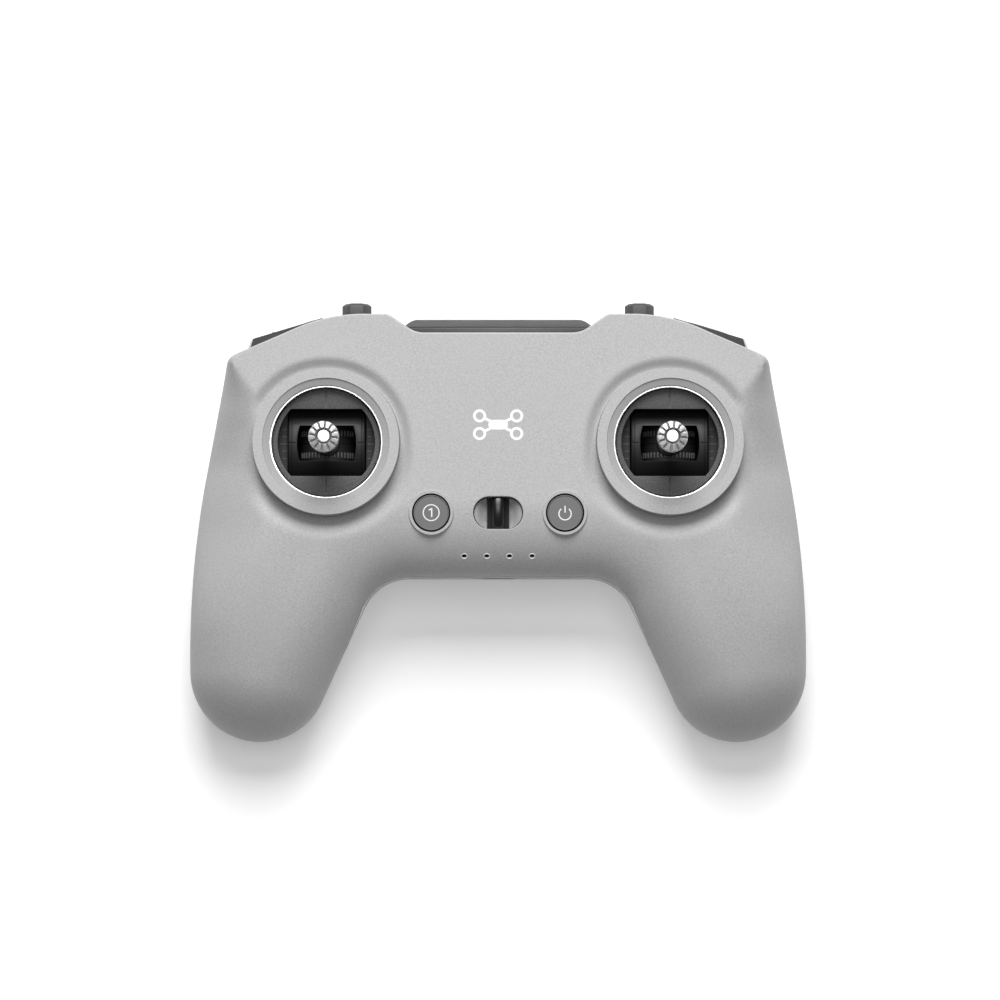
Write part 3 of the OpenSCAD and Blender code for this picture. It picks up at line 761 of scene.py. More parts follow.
# Triangles between the border and the holes, with the loops and open lines kept as edges
def planMesh(loops, holes, spacing, clearEdge, border=outline, lines=()):
    points, edges = [], []
    for loop in [border] + loops + holes:
        start = len(points)
        points += [tuple(p) for p in loop]
        edges += [(start + k, start + (k + 1) % len(loop)) for k in range(len(loop))]
    for line in lines:
        start = len(points)
        points += [tuple(p) for p in line]
        edges += [(start + k, start + k + 1) for k in range(len(line) - 1)]
    low, high = border.min(0), border.max(0)
    xs = np.arange(low[0], high[0], spacing)
    rowsY = np.arange(low[1], high[1], spacing * 0.866)
    fill = np.array([(x + (spacing / 2 if j % 2 else 0), y) for j, y in enumerate(rowsY) for x in xs])
    fill = fill[insideLoop(fill, border)]
    fill = fill[edgeDistance(fill, border) > clearEdge]
    kept = np.array(points)
    cellSize = spacing * 0.6
    taken = {}
    for p in kept:
        taken.setdefault((int(p[0] // cellSize), int(p[1] // cellSize)), []).append(p)
    free = []
    for p in fill:
        i, j = int(p[0] // cellSize), int(p[1] // cellSize)
        near = [q for a in (-1, 0, 1) for b in (-1, 0, 1) for q in taken.get((i + a, j + b), ())]
        if all((p[0] - q[0]) ** 2 + (p[1] - q[1]) ** 2 > cellSize ** 2 for q in near):
            free.append(tuple(p))
    points += free
    verts, _, faces, *_ = delaunay_2d_cdt([Vector(p) for p in points], edges, [], 0, 1e-5)
    verts = np.array([tuple(v) for v in verts])
    faces = np.array([f for f in faces if len(f) == 3])
    centres = verts[faces].mean(1)
    keep = insideLoop(centres, border)
    for hole in holes:
        keep &= ~insideLoop(centres, hole)
    faces = faces[keep]
    used = np.unique(faces)
    order = np.full(len(verts), -1)
    order[used] = np.arange(len(used))
    return verts[used], order[faces]


# Edges with a triangle on one side only, in the order of that triangle
def openEdges(faces):
    edges = {}
    for a, b, c in faces:
        for pair in ((a, b), (b, c), (c, a)):
            key = (min(pair), max(pair))
            edges[key] = None if key in edges else pair
    return [pair for pair in edges.values() if pair]


def casingShell(name, surface, front, loops, holes, material):
    wall = casing["wall"]
    normals = inwards(outline)
    steps = [0.04, 0.14, 0.3, 0.42, 0.47, 0.6, 0.9, 1.35, 1.9, 2.6]
    loops = [outline + normals * s for s in steps] + loops
    plan, faces = planMesh(loops, holes, casing["grain"], 3.4)
    z, n = surface(plan)
    base, _, d = baseSurface(plan, front)
    onEdge = d < 1e-4
    sign = 1 if front else -1
    z = np.where(onEdge, z + sign * casing["lip"], z)
    outer = np.column_stack([plan, z])
    lift = np.zeros(len(plan)) if front else np.maximum(0, z - base)
    count = len(plan)
    near = np.full(count, 99.0)
    for hole in holes:
        near = np.minimum(near, edgeDistance(plan, hole))
    turned = ease(0.1, 2.6, near)[:, None]
    inset = mix(np.array([0, 0, sign * 1.05]), n, turned) * wall
    inner = np.column_stack([plan, np.where(onEdge, base, base + lift)]) - inset
    inner[onEdge, 2] = base[onEdge]
    if front:
        for skinPoints in (outer, inner):
            rise = np.clip((skinPoints[:, 2] - casing["partHeight"]) / 16, 0, 1)
            skinPoints[:, 1] -= casing["draft"] * rise * ease(36, 50, skinPoints[:, 1])
    skin = [tuple(f) for f in faces] + [tuple(i + count for i in f[::-1]) for f in faces]
    verts = [tuple(v) for v in outer] + [tuple(v) for v in inner]
    lipOf = {}
    for a, b in openEdges(faces):
        if onEdge[a] and onEdge[b]:
            for i in (a, b):
                if i not in lipOf:
                    lipOf[i] = len(verts)
                    inset = plan[i] - n[i, :2] / max(np.linalg.norm(n[i, :2]), 1e-6) * casing["lip"]
                    verts.append((inset[0], inset[1], base[i]))
            skin.append((b, a, lipOf[a], lipOf[b]))
            skin.append((lipOf[b], lipOf[a], a + count, b + count))
        else:
            skin.append((b, a, a + count, b + count))
    return faceOut(newObject(name, verts, skin, material))


# Loops that follow the front's features
frontLoops, frontHoles = [], []
for side in (-1, 1):
    x, y = side * wells["x"], wells["y"]
    frontHoles.append(circleLoop(x, y, wells["hole"], 0.6))
    for r in (15.2, wells["flat"] - 0.08, wells["flat"], 17.6, 18.6, wells["outer"], 19.65, 19.85, 20.2,
              20.7, 21.3, 22, 22.7, 23.4, 24.4, 25.4):
        frontLoops.append(circleLoop(x, y, r, 0.62))
    x, y = side * keys["x"], keys["y"]
    frontHoles.append(circleLoop(x, y, keys["hole"], 0.4))
    for r in (5.2, 5.45, keys["rim"], keys["foot"], 6.4, 6.8, 7.3):
        frontLoops.append(circleLoop(x, y, r, 0.42))
frontHoles.append(slotEdge())
for grow in (0.1, 0.25, 0.45):
    frontLoops.append(slotEdge(grow))

rear = {"posts": [(29, 42.6), (66, 2.5), (64.5, -49)], "plugs": [(-5, 17.2), (7, 17.2)], "ventPitch": 5,
        "ventY": 25}
rearLoops, rearHoles = [], []
for side in (-1, 1):
    for px, py in rear["posts"]:
        rearHoles.append(circleLoop(side * px, py, 2.35, 0.4))
    for px, py in rear["plugs"]:
        rearHoles.append(circleLoop(side * wells["x"] + px, wells["y"] + py, 2.6, 0.4))
    rearLoops += [inlayLoop(side, inlay["gap"]), inlayLoop(side, 0)]
for k in range(-5, 6):
    rearHoles.append(slotLoop(k * rear["ventPitch"], rear["ventY"], 16, 1.6, 0.4, upright=True))

frontCasing = casingShell("front_casing", frontSurface, True, frontLoops, frontHoles, casingGrey)
rearCasing = casingShell("rear_casing", rearSurface, False, rearLoops, rearHoles, casingGrey)
frontCasing.data.materials.append(shadowPlastic)
frontCasing.data.materials.append(coneShadeGrey)
for face in frontCasing.data.polygons:
    cx, cy, cz = face.center / mm
    # Painted shadow: faces round the button holes take the near-black plastic
    if math.hypot(abs(cx) - keys["x"], cy - keys["y"]) < keys["hole"] + 0.02:
        face.material_index = 1
    # Painted shade: the collar's inner slope takes the darker plastic
    if math.hypot(abs(cx) - wells["x"], cy - wells["y"]) < wells["flat"] - 0.03 and cz > 40:
        face.material_index = 2
# Painted reflection: the narrow ledge along the notch edge takes the pale plastic in place of the light it
# reflects
frontCasing.data.materials.append(paintedHighlightPlastic)
for face, near in zip(frontCasing.data.polygons,
                      edgeDistance(np.array([face.center[:2] for face in frontCasing.data.polygons]) / mm)):
    cx, cy, cz = face.center / mm
    if near < 0.44 and abs(cx) < 40 and cy < 0 and face.normal.z > 0.5:
        face.material_index = 3
print("casing surfaces", len(frontCasing.data.polygons), len(rearCasing.data.polygons))

# Side openings of the casing
sideParts = {
    "antenna": [(43.5, 7, 1), (54, 7, 7), (54, 25, 6), (51.4, 29.8, 0.8), (43.5, 29.8, 1)],
    "antennaHalf": 25.9, "antennaReach": 54.1, "clearance": 0.12,
    "bezel": [(46.9, 54.7, 0.6), (45.5, 47.1, 1), (62, 41, 1), (67.5, 45, 1.2), (66, 48.93, 1.6)],
    "bezelLow": 8, "bezelHigh": 23.4,
    "toggleX": 38, "toggleZ": 18, "pivotY": 49.3, "window": 4.6,
    "usbZ": 24.9, "ledY": -10.1, "ledPitch": 6, "ledRadius": 0.7,
}
shoulder = shift(56.35, 51.85, 15.7) @ turn(-16.8, "Z")
mirrored = Matrix.Scale(-1, 4, (1, 0, 0))


def sweepX(name, outlineYZ, x0, x1, material=None):
    return loft(name, [[(x, a, b) for a, b in outlineYZ] for x in (x0, x1)], material)


# Outline moved outwards; points in order either way
def grown(points, by):
    p = np.array(points, float)
    area = ((np.roll(p[:, 0], -1) - p[:, 0]) * (np.roll(p[:, 1], -1) + p[:, 1])).sum()
    return [tuple(q) for q in p - inwards(p) * by * (1 if area < 0 else -1)]


def antennaBody(name, grow, material=None):
    side = sweepX(name, grown(roundedLoop(sideParts["antenna"], 0.4), grow), -26 - grow, 26 + grow, material)
    half, reach = sideParts["antennaHalf"] + grow, sideParts["antennaReach"] + grow
    plan = roundedLoop([(half, 43 - grow, 1), (half, reach, 5.6), (-half, reach, 5.6),
                        (-half, 43 - grow, 1)], 0.4)
    return cut(side, [prism("plan", plan, 0, 60)], "INTERSECT")


def bezelBody(name, grow, material=None):
    plan = grown(roundedLoop(sideParts["bezel"], 0.3), grow)
    body = prism(name, plan, sideParts["bezelLow"] - grow, sideParts["bezelHigh"] + grow, material)
    side = roundedLoop([(grow, -7.7 - grow, 4), (grow, 7.7 + grow, 1.2), (-14, 9, 1), (-14, -9, 1)], 0.4)
    return cut(body, [place(sweepX("side", side, -16, 16), shoulder)], "INTERSECT")


# The outer end of a bezel has the casing's colour
def lightEnd(obj):
    obj.data.materials.append(casingGrey)
    point, normal = Vector((65.5, 49.5, 0)) * mm, Vector((0.96, 0.28, 0))
    work = bmesh.new()
    work.from_mesh(obj.data)
    bmesh.ops.bisect_plane(work, geom=work.verts[:] + work.edges[:] + work.faces[:], plane_co=point,
                           plane_no=normal)
    for face in work.faces:
        if (face.calc_center_median() - point).dot(normal) > 0:
            face.material_index = 1
    work.to_mesh(obj.data)
    work.free()


def flipX(obj):
    obj.data.transform(mirrored)
    obj.data.flip_normals()
    return obj


def duplicate(obj, name, matrix=None):
    out = bpy.data.objects.new(name, obj.data.copy())
    out.data.name = name
    bpy.context.scene.collection.objects.link(out)
    if matrix is not None:
        place(out, matrix)
    return out


# One copy in each gimbal well
def onEach(obj, stem, body, slotName, node):
    for side, label in ((-1, "left"), (1, "right")):
        piece = duplicate(obj, f"{label}_{stem}", shift(side * wells["x"], wells["y"], 0))
        give(piece, body.format(label), slotName, f"{label}_{node}")
    discard(obj)


cutters = [antennaBody("cutter", sideParts["clearance"])]
for k in (-1.5, -0.5, 0.5, 1.5):
    cutters.append(rod(sideParts["ledRadius"], 25, 45, 24))
    place(cutters[-1], shift(k * sideParts["ledPitch"], sideParts["ledY"], 0))
plug = slotLoop(0, sideParts["usbZ"], 9.4, 3.7, 0.3)
cutters.append(loft("cutter", [[(x, y, z) for x, z in plug] for y in (-9, -20)]))
cut(frontCasing, cutters)
sharpen(frontCasing, 38)

cutters = [antennaBody("cutter", sideParts["clearance"])]
for side in (-1, 1):
    cutters.append(bezelBody("cutter", sideParts["clearance"]))
    if side < 0:
        flipX(cutters[-1])
    x, z, w = side * sideParts["toggleX"], sideParts["toggleZ"], sideParts["window"]
    cutters.append(block("cutter", x - w, x + w, 50.5, 60, z - 6, z + 6.5))
    cutters.append(block("cutter", x - 5.75, x + 5.75, 42, 51.85, z - 6.05, z + 5.75))
cut(rearCasing, cutters)
sharpen(rearCasing, 38)
print("casing cut-outs")

cover = antennaBody("antenna_cover_fine", 0, coverDark)
cut(cover, [block("cutter", -23.4, 23.4, 40, 51.6, 9, 27.8)])
give(bevel(cover, 0.22), root, "dark_trim", "antenna_cover")

# Shoulder controls
controls = {"dialAt": (4.2, -5.9), "dialRadius": 6.4, "dialRibs": 24, "pauseAt": -6.2}
dx, dy = controls["dialAt"]
leftBezel = bezelBody("left_bezel_fine", 0, bezelDark)
pocket = rod(6.75, -3.8, 3.8)
axleHole = rod(1.1, -9, 11, 32)
pauseHole = rod(3.1, -12, 2, 48, "Y")
place(pauseHole, shoulder @ shift(controls["pauseAt"], 0, 0))
for tool in (pocket, axleHole):
    place(tool, shoulder @ shift(dx, dy, 0))
cut(leftBezel, [pocket, axleHole, pauseHole])
leftBezel = bevel(leftBezel, 0.2)
lightEnd(leftBezel)
give(flipX(leftBezel), root, "dark_trim", "left_shoulder_bezel")

rightBezel = bezelBody("right_bezel_fine", 0, bezelDark)
window = loft("cutter", [[(x, y, z) for x, z in slotLoop(0, 0, 13.4, 7.4, 0.4)] for y in (-12, 2)])
cut(rightBezel, [place(window, shoulder)])
lightEnd(bevel(rightBezel, 0.2))
give(rightBezel, root, "dark_trim", "right_shoulder_bezel")

r = controls["dialRadius"]
dial = lathe("dial_core", [(1.15, -3.5), (r - 1.1, -3.5), (r - 0.5, -3.1), (r - 0.5, 3.1), (r - 1.1, 3.5),
                           (3.4, 3.5), (3.0, 3.2), (1.15, 3.2)], blackPlastic)
rib = loft("rib", [[(r - 0.7, -0.5, z * s), (r - 0.12, -0.42, z * s), (r, 0, z * s),
                    (r - 0.12, 0.42, z * s), (r - 0.7, 0.5, z * s)] for z, s in ((-3.3, 1), (3.3, 1))])
ribs = ringCopies(rib, controls["dialRibs"], (0, 0, 0), blackPlastic)
dial = joinAll("tilt_dial_fine", [dial, ribs])
place(dial, shoulder @ shift(dx, dy, 0))
give(flipX(dial), "tilt_dial_body", "black_plastic", "tilt_dial")

pause = lathe("pause_button_fine", [(0, -4.5), (2.9, -4.5), (2.9, 0.05), (2.75, 0.35), (2.4, 0.5),
                                    (1.6, 0.4), (0, 0.32)], toggleGrey, 64, "Y")
place(pause, shoulder @ shift(controls["pauseAt"], 0, 0))
give(flipX(pause), "pause_button_body", "button_grey", "pause_button")


def slotRing(length, width, inset, y, parts=18):
    radius, half = width / 2 - inset, (length - width) / 2
    ring = [(half + radius * math.cos(a), y, radius * math.sin(a))
            for a in np.linspace(-math.pi / 2, math.pi / 2, parts)]
    return ring + [(-half + radius * math.cos(a), y, radius * math.sin(a))
                   for a in np.linspace(math.pi / 2, 3 * math.pi / 2, parts)]


record = loft("record_button_fine", [slotRing(13, 7, i, y)
                                     for i, y in ((0, -4.5), (0, 0.1), (0.12, 0.35), (0.4, 0.5),
                                                  (1.2, 0.42))], toggleGrey)
place(record, shoulder)
give(record, "record_button_body", "button_grey", "record_button")

hexagon = [(-4.0, 0), (-1.95, -2.9), (1.95, -2.9), (4.0, 0), (1.95, 2.9), (-1.95, 2.9)]
for side, body, node in ((-1, "mode_switch_body", "mode_switch_lever"),
                         (1, "option_switch_body", "option_switch_lever")):
    rings = [[(x * s, y, z * s) for x, z in hexagon] for y, s in ((2.2, 1), (8.85, 1), (9.5, 0.74))]
    lever = bevel(loft("lever", rings, toggleGrey), 0.22, 3)
    barrel = lathe("barrel", [(1.05, -2.5), (2.4, -2.5), (2.6, -2.3), (2.6, 2.3), (2.4, 2.5), (1.05, 2.5)],
                   toggleGrey, 48, "X")
    lever = joinAll(node + "_fine", [lever, barrel])
    place(lever, shift(side * sideParts["toggleX"], sideParts["pivotY"], sideParts["toggleZ"]))
    give(lever, body, "button_grey", node)
print("shoulder controls")

# Stick gimbals
gimbal = {"pivot": 25, "drum": 12, "drumInner": 10.4, "half": 10.25, "slotX": 7.85, "slotY": 4.7,
          "bow": 0.75, "tip": 62, "cap": 4.05, "petals": 12, "pin": 1.65, "coverHole": 12.9,
          "coverFlat": 8.9, "caseX": 14.8, "caseY": 13.1, "earX": 17.2, "earY": 9.4, "combTeeth": 17,
          "knurls": 30}
ring = lathe("ring", [(14.45, 37.8), (15.2, 37.8), (15.2, 39.8), (15.1, 39.88), (14.6, 39.83), (14.5, 39.7),
                      (14.45, 39.5)], brightRing, 160)
onEach(ring, "ring_fine", root, "bright_ring", "trim_ring")

plate = lathe("plate", [(0, 37.8), (14.2, 37.8), (14.2, 38.55), (14.12, 38.72), (13.95, 38.8), (0, 38.8)],
              plateBlack, 160)
hole, flat = gimbal["coverHole"], gimbal["coverFlat"]
opening = prism("cutter", [(hole * math.cos(a), max(-flat, min(flat, hole * math.sin(a))))
                           for a in np.linspace(0, 2 * math.pi, 181)[:-1]], 30, 45)
faceOut(opening)
marks = [block("cutter", -0.16, 0.16, s * 11.6 - 2.2, s * 11.6 + 2.2, 38.5, 39.5) for s in (-1, 1)]
cut(plate, [opening] + marks)
onEach(bevel(plate, 0.14), "cover_fine", root, "cover_plate", "gimbal_cover")

caseX, caseY = gimbal["caseX"], gimbal["caseY"]
case = block("case", -caseX, caseX, -caseY, caseY, 12, 36.2)
case.data.materials.append(plateBlack)
cut(case, [rod(15.1, 36, 37.7)], "UNION")
hollow = [block("cutter", -10.48, 10.48, -12.4, 12.4, 13.5, 34.0),
          block("cutter", -13.4, 13.4, -9.6, 9.6, 33, 40),
          block("cutter", -10.48, 10.48, -10.8, 10.8, 32.9, 36.4), rod(3, -20, 20, 48, "X")]
place(hollow[-1], shift(0, 0, gimbal["pivot"]))
ticks = []
for s in (-1, 1):
    for y, length in ((0, 1.9), (1.95, 1.1), (-1.95, 1.1), (3.9, 1.1), (-3.9, 1.1)):
        x = s * (10.7 + length / 2)
        line = block("line", x - length / 2, x + length / 2, y - 0.13, y + 0.13, 32.8, 33.12)
        line.data.materials.append(toggleGrey)
        ticks.append(line)
cut(case, hollow)
ears = []
for i in (-1, 1):
    for j in (-1, 1):
        ear = lathe("ear", [(1, 31), (2.6, 31), (2.6, 33), (1, 33)], plateBlack, 40)
        place(ear, shift(i * gimbal["earX"], j * gimbal["earY"], 0))
        y = j * gimbal["earY"]
        arm = block("arm", *sorted((i * 14.7, i * 15.4)), y - 2.2, y + 2.2, 31, 33)
        arm.data.materials.append(plateBlack)
        ears += [ear, arm]
case = joinAll("case", [sharpen(case)] + ears)
# Painted shade: the frame's faces deep below the cover take the near-black drum plastic
case.data.materials.append(drumBlack)
for face in case.data.polygons:
    if face.center.z < 36.3 * mm and abs(face.center.x) < 13.5 * mm:
        face.material_index = len(case.data.materials) - 1
case = joinAll("case", [case] + ticks)
onEach(case, "frame_fine", root, "black_plastic", "gimbal_frame")

drumRadius, drumHalf = gimbal["drum"], gimbal["half"]
profile = [(1.5, -drumHalf), (drumRadius - 0.5, -drumHalf), (drumRadius - 0.15, -drumHalf + 0.15),
           (drumRadius, -drumHalf + 0.5)]
for x in (-9.35, 9.35):
    profile += [(drumRadius, x - 0.16), (drumRadius - 0.22, x - 0.08), (drumRadius - 0.22, x + 0.08),
                (drumRadius, x + 0.16)]
profile += [(drumRadius, drumHalf - 0.5), (drumRadius - 0.15, drumHalf - 0.15),
            (drumRadius - 0.5, drumHalf), (1.5, drumHalf), (1.5, drumHalf - 1.5),
            (gimbal["drumInner"], drumHalf - 1.5), (gimbal["drumInner"], -drumHalf + 1.5),
            (1.5, -drumHalf + 1.5)]
drum = lathe("drum", profile, drumBlack, 144, "X")
slotHalf, slotTall, bow = gimbal["slotX"], gimbal["slotY"], gimbal["bow"]
ends = [(slotHalf - bow * (y / slotTall) ** 2, y) for y in np.linspace(-slotTall, slotTall, 15)]
slotShape = roundedLoop([(x, y, 0.02) for x, y in ends] + [(-x, -y, 0.02) for x, y in ends], 0.3)
tools = [prism("cutter", slotShape, 0, 20), block("cutter", -20, 20, -20, 20, -20, -4),
         rod(1.34, -20, 20, 32, "Y")]
tools += [block("cutter", *sorted((s * 8.15, s * 10.15)), -0.11, 0.11, drumRadius - 0.25, drumRadius + 1)
          for s in (-1, 1)]
cut(drum, tools)
bevel(drum, 0.16, 2, 40)
axle = lathe("axle", [(0, -14.2), (1.3, -14.2), (1.5, -14), (1.5, -drumHalf + 1), (0, -drumHalf + 1)],
             drumBlack, 40, "X")
farAxle = lathe("axle", [(0, drumHalf - 1), (1.5, drumHalf - 1), (1.5, 14), (1.3, 14.2), (0, 14.2)],
                drumBlack, 40, "X")
drum = joinAll("drum", [drum, axle, farAxle])
onEach(place(drum, shift(0, 0, gimbal["pivot"])), "drum_fine", "{}_gimbal_yoke", "black_plastic", "yoke")

hub = lathe("hub", [(0, -6.5), (7.3, -6.5), (7.7, -6.1), (7.7, -0.35), (7.55, -0.25), (7.55, 0.25),
                    (7.7, 0.35), (7.7, 6.1), (7.3, 6.5), (0, 6.5)], drumBlack, 96, "Y")
cross = lathe("cross", [(0, -11.6), (1.15, -11.6), (1.3, -11.45), (1.3, 11.45), (1.15, 11.6), (0, 11.6)],
              drumBlack, 32, "Y")
collar = lathe("collar", [(1.95, 7.2), (3.3, 7.2), (3.1, 8.4), (2.2, 8.7), (1.95, 8.7)], drumBlack, 48)
combs = []
for s in (-1, 1):
    tooth = block("tooth", 7.5, 8.0, -0.22, 0.22, s * 2.9 - 0.75, s * 2.9 + 0.75)
    combs.append(ringCopies(bevel(tooth, 0.08), gimbal["combTeeth"], (0, 0, 0), plateBlack, 270 - 60,
                            (-90, 0, 0), 127))
hub = joinAll("hub", [hub, cross, collar] + combs)
onEach(place(hub, shift(0, 0, gimbal["pivot"])), "hub_fine", "{}_stick", "black_plastic", "hub")

shaft = lathe("shaft", [(0, 29), (1.85, 29), (1.85, 44), (1.6, 44.3), (1.6, 44.8), (1.85, 45), (1.85, 59),
                        (0, 59)], shaftMetal, 48)
onEach(shaft, "shaft_fine", "{}_stick", "stick_metal", "stick_shaft")

tip, cap = gimbal["tip"], gimbal["cap"]
core = lathe("core", [(1.9, 45), (2.6, 45), (2.9, 45.3), (2.9, 54.6), (3.0, 55), (3.9, 57), (3.98, 57.3),
                      (3.98, 60.9), (3.85, 61.1), (1.9, 61.1)], capMetal, 96)
# Painted shade: the crown floor between the petals takes the darker metal
floorRing = lathe("floor_ring", [(1.9, 58.9), (1.9, 60.95), (3.9, 61.05), (3.8, 61.16), (1.95, 61.16),
                                 (1.82, 61.0), (1.82, 58.9)], capGrooveShade, 96)
half = math.tan(math.pi / gimbal["petals"])
rim = cap - 0.12
flute = roundedLoop([(2.1, -2.1 * half + 0.16, 0.14), (rim, -rim * half + 0.2, 0.66),
                     (rim, rim * half - 0.2, 0.66), (2.1, 2.1 * half - 0.16, 0.14)], 0.16)


def petalRing(z, inset, slope=0.0):
    return [(3.1 + (x - 3.1) * (1 - inset / 1.0), y * (1 - inset / 0.72), z - slope * (x - 2))
            for x, y in flute]


petal = loft("petal", [petalRing(60.8, 0), petalRing(61.75, 0, 0.1), petalRing(61.92, 0.05, 0.13),
                       petalRing(tip, 0.16, 0.16)])
crown = ringCopies(petal, gimbal["petals"], (0, 0, 0), capMetal, 8)
side = [(3.7, -0.8), (cap - 0.07, -0.66), (cap, 0), (cap - 0.07, 0.66), (3.7, 0.8)]
lobe = loft("lobe", [[(x * s, y * s, z) for x, y in side]
                     for z, s in ((57.0, 0.93), (57.6, 1), (60.6, 1), (61.2, 0.97))])
lobes = ringCopies(lobe, gimbal["petals"], (0, 0, 0), capMetal, 8)
grain = loft("knurl", [[(2.8, -0.22, z), (3.02, 0, z), (2.8, 0.22, z)] for z in (46, 54.2)])
knurls = ringCopies(grain, gimbal["knurls"], (0, 0, 0), capMetal)
capPiece = joinAll("cap", [core, floorRing, crown, lobes, knurls])
onEach(capPiece, "cap_fine", "{}_stick", "stick_metal", "stick_cap")

p = gimbal["pin"]
pin = lathe("pin", [(0, 59), (p, 59), (p, tip - 0.62), (p - 0.12, tip - 0.45), (p - 0.3, tip - 0.4),
                    (0.5, tip - 0.4), (0, tip - 0.4)], pinMetal, 64)
onEach(pin, "pin_fine", "{}_stick", "stick_metal", "stick_pin")
print("gimbals")

# Face buttons, marks and lanyard point
keyLevel = float(baseSurface(np.array([[keys["x"], keys["y"]]]), True)[0][0])
keyRadius = keys["radius"]


# Flat printed line of a constant width along points in the plane, a little above zero
def stroke(name, points, width, material, closed=False, high=0.05):
    p = np.array(points, float)
    if closed:
        along = np.roll(p, -1, 0) - np.roll(p, 1, 0)
    else:
        along = np.gradient(p, axis=0)
    along /= np.linalg.norm(along, axis=1)[:, None]
    n = np.stack([-along[:, 1], along[:, 0]], 1) * width / 2
    rings = [[(*(q + m), 0), (*(q + m), high), (*(q - m), high), (*(q - m), 0)] for q, m in zip(p, n)]
    return loft(name, rings + rings[:1] if closed else rings, material, not closed)


def arc(radius, start, end, x=0, y=0, parts=40):
    return [(x + radius * math.cos(a), y + radius * math.sin(a))
            for a in np.radians(np.linspace(start, end, parts))]


glyphs = {"ring": 1.62, "line": 0.3, "powerGap": 38}
ringSize, lineWidth, gap = glyphs["ring"], glyphs["line"], glyphs["powerGap"]
powerMark = [stroke("mark", arc(ringSize, 90 + gap, 450 - gap, 0, -0.3), lineWidth, markWhite),
             stroke("mark", [(0, 0.0), (0, 1.8)], lineWidth, markWhite)]
numberMark = [stroke("mark", arc(2.1, 0, 354, 0, 0, 60), 0.28, markWhite, True),
              stroke("mark", [(0.14, -1.15), (0.14, 1.2)], lineWidth + 0.04, markWhite),
              stroke("mark", [(-0.62, 0.68), (-0.2, 0.9), (0.2, 1.2)], lineWidth, markWhite)]
for side, body, node, mark in ((-1, "function_button_body", "function_button", numberMark),
                               (1, "power_button_body", "power_button", powerMark)):
    button = lathe("button", [(0, -6.6), (1.4, -6.6), (1.4, -5.8), (5.65, -5.8), (5.65, -4.8),
                              (keyRadius, -4.8), (keyRadius, -0.55), (keyRadius - 0.1, -0.4),
                              (keyRadius - 0.2, -0.14), (keyRadius - 0.32, -0.08),
                              (keyRadius - 0.44, -0.14), (keyRadius - 0.52, -0.24), (0, -0.18)], buttonGrey,
                   128)
    # Painted shadow: the button's sides below its top take the near-black plastic
    button.data.materials.append(shadowPlastic)
    for face in button.data.polygons:
        if face.center.z < -0.4 * mm:
            face.material_index = 1
    for line in mark:
        place(line, shift(0, 0, -0.2))
    button = joinAll(node + "_fine", [button] + mark)
    place(button, shift(side * keys["x"], keys["y"], keyLevel) @ turn(keys["tilt"], "X"))
    give(button, body, "button_grey", node)

emblem = {"x": 0, "y": 24.5, "wide": 4.9, "tall": 2.35, "rotor": 1.75, "line": 0.72}
lines = []
for i in (-1, 1):
    for j in (-1, 1):
        cx, cy = i * emblem["wide"], j * emblem["tall"]
        lines.append(stroke("rotor", arc(emblem["rotor"] - emblem["line"] / 2, 0, 351, cx, cy, 40),
                            emblem["line"], markWhite, True))
        lines.append(stroke("arm", [(i * 1.2, j * 0.55),
                                    (i * (emblem["wide"] - 1.35), j * (emblem["tall"] - 0.65))],
                            emblem["line"], markWhite, high=0.035))
hullShape = slotLoop(0, 0, 5.2, 2.6, 0.3)
lines.append(prism("hull", hullShape, 0, 0.07, markWhite))
emblemPiece = joinAll("emblem_print", lines)
place(emblemPiece, shift(emblem["x"], emblem["y"], 40.0 - 0.02))
give(emblemPiece, root, "casing_grey")

strap = {"half": 1.47, "high": 1.3, "arch": 1.0, "at": (0, 1.2, 37.55), "tilt": 9.3}
rings = []
for t in np.linspace(-1, 1, 33):
    lift = strap["arch"] * (1 - abs(t) ** 2.2) - 0.35
    rings.append([(strap["half"] * np.sign(math.cos(a)) * abs(math.cos(a)) ** 0.7, 4.3 * t,
                   lift + strap["high"] * np.sign(math.sin(a)) * abs(math.sin(a)) ** 0.8)
                  for a in np.linspace(0, 2 * math.pi, 37)[:-1]])
bar = loft("lanyard_bar_fine", rings, strapBlack)
place(bar, shift(*strap["at"]) @ turn(strap["tilt"], "X"))
give(bar, root, "dark_trim", "lanyard_bar")

cup = {"edge": -0.75, "deep": -3.3, "well": -5.4, "wellHalf": 2.75, "floor": -6.6, "slope": 0.1638,
       "level": 39.3}
rim = slotEdge(-0.22)
wellLines = [np.array([(s * w, y) for y in np.linspace(-2.9, 5.3, 21)]) for s in (-1, 1)
             for w in (cup["wellHalf"], cup["wellHalf"] + 0.25)]
plan, faces = planMesh([], [], 0.55, 0.35, rim, wellLines)
x = np.abs(plan[:, 0])
level = cup["level"] + (plan[:, 1] - slotSize["y"]) * cup["slope"]
across = edgeDistance(plan, rim)
scoop = mix(cup["deep"], cup["edge"], ease(cup["wellHalf"], 6.6, x) ** 0.8) - 0.8 * ease(0.0, 2.2,
        across) * ease(6.4, 3.2, x)
z = level + mix(cup["well"], scoop, ease(cup["wellHalf"], cup["wellHalf"] + 0.25, x))
z = np.minimum(z, level + cup["edge"])
count = len(plan)
verts = [(px, py, pz) for (px, py), pz in zip(plan, z)] + [(px, py, lz + cup["floor"])
        for (px, py), lz in zip(plan, level)]
skin = [tuple(f) for f in faces] + [tuple(i + count for i in f[::-1]) for f in faces]
skin += [(b, a, a + count, b + count) for a, b in openEdges(faces)]
cupPiece = faceOut(newObject("lanyard_cup_fine", verts, skin, recessGrey))
# Painted shadow: the deep channel under the lanyard bar takes the near-black plastic
cupPiece.data.materials.append(shadowPlastic)
for face in cupPiece.data.polygons:
    if abs(face.center.x) < (cup["wellHalf"] + 0.15) * mm:
        face.material_index = 1
give(sharpen(cupPiece, 50), root, "recess_grey", "lanyard_cup")

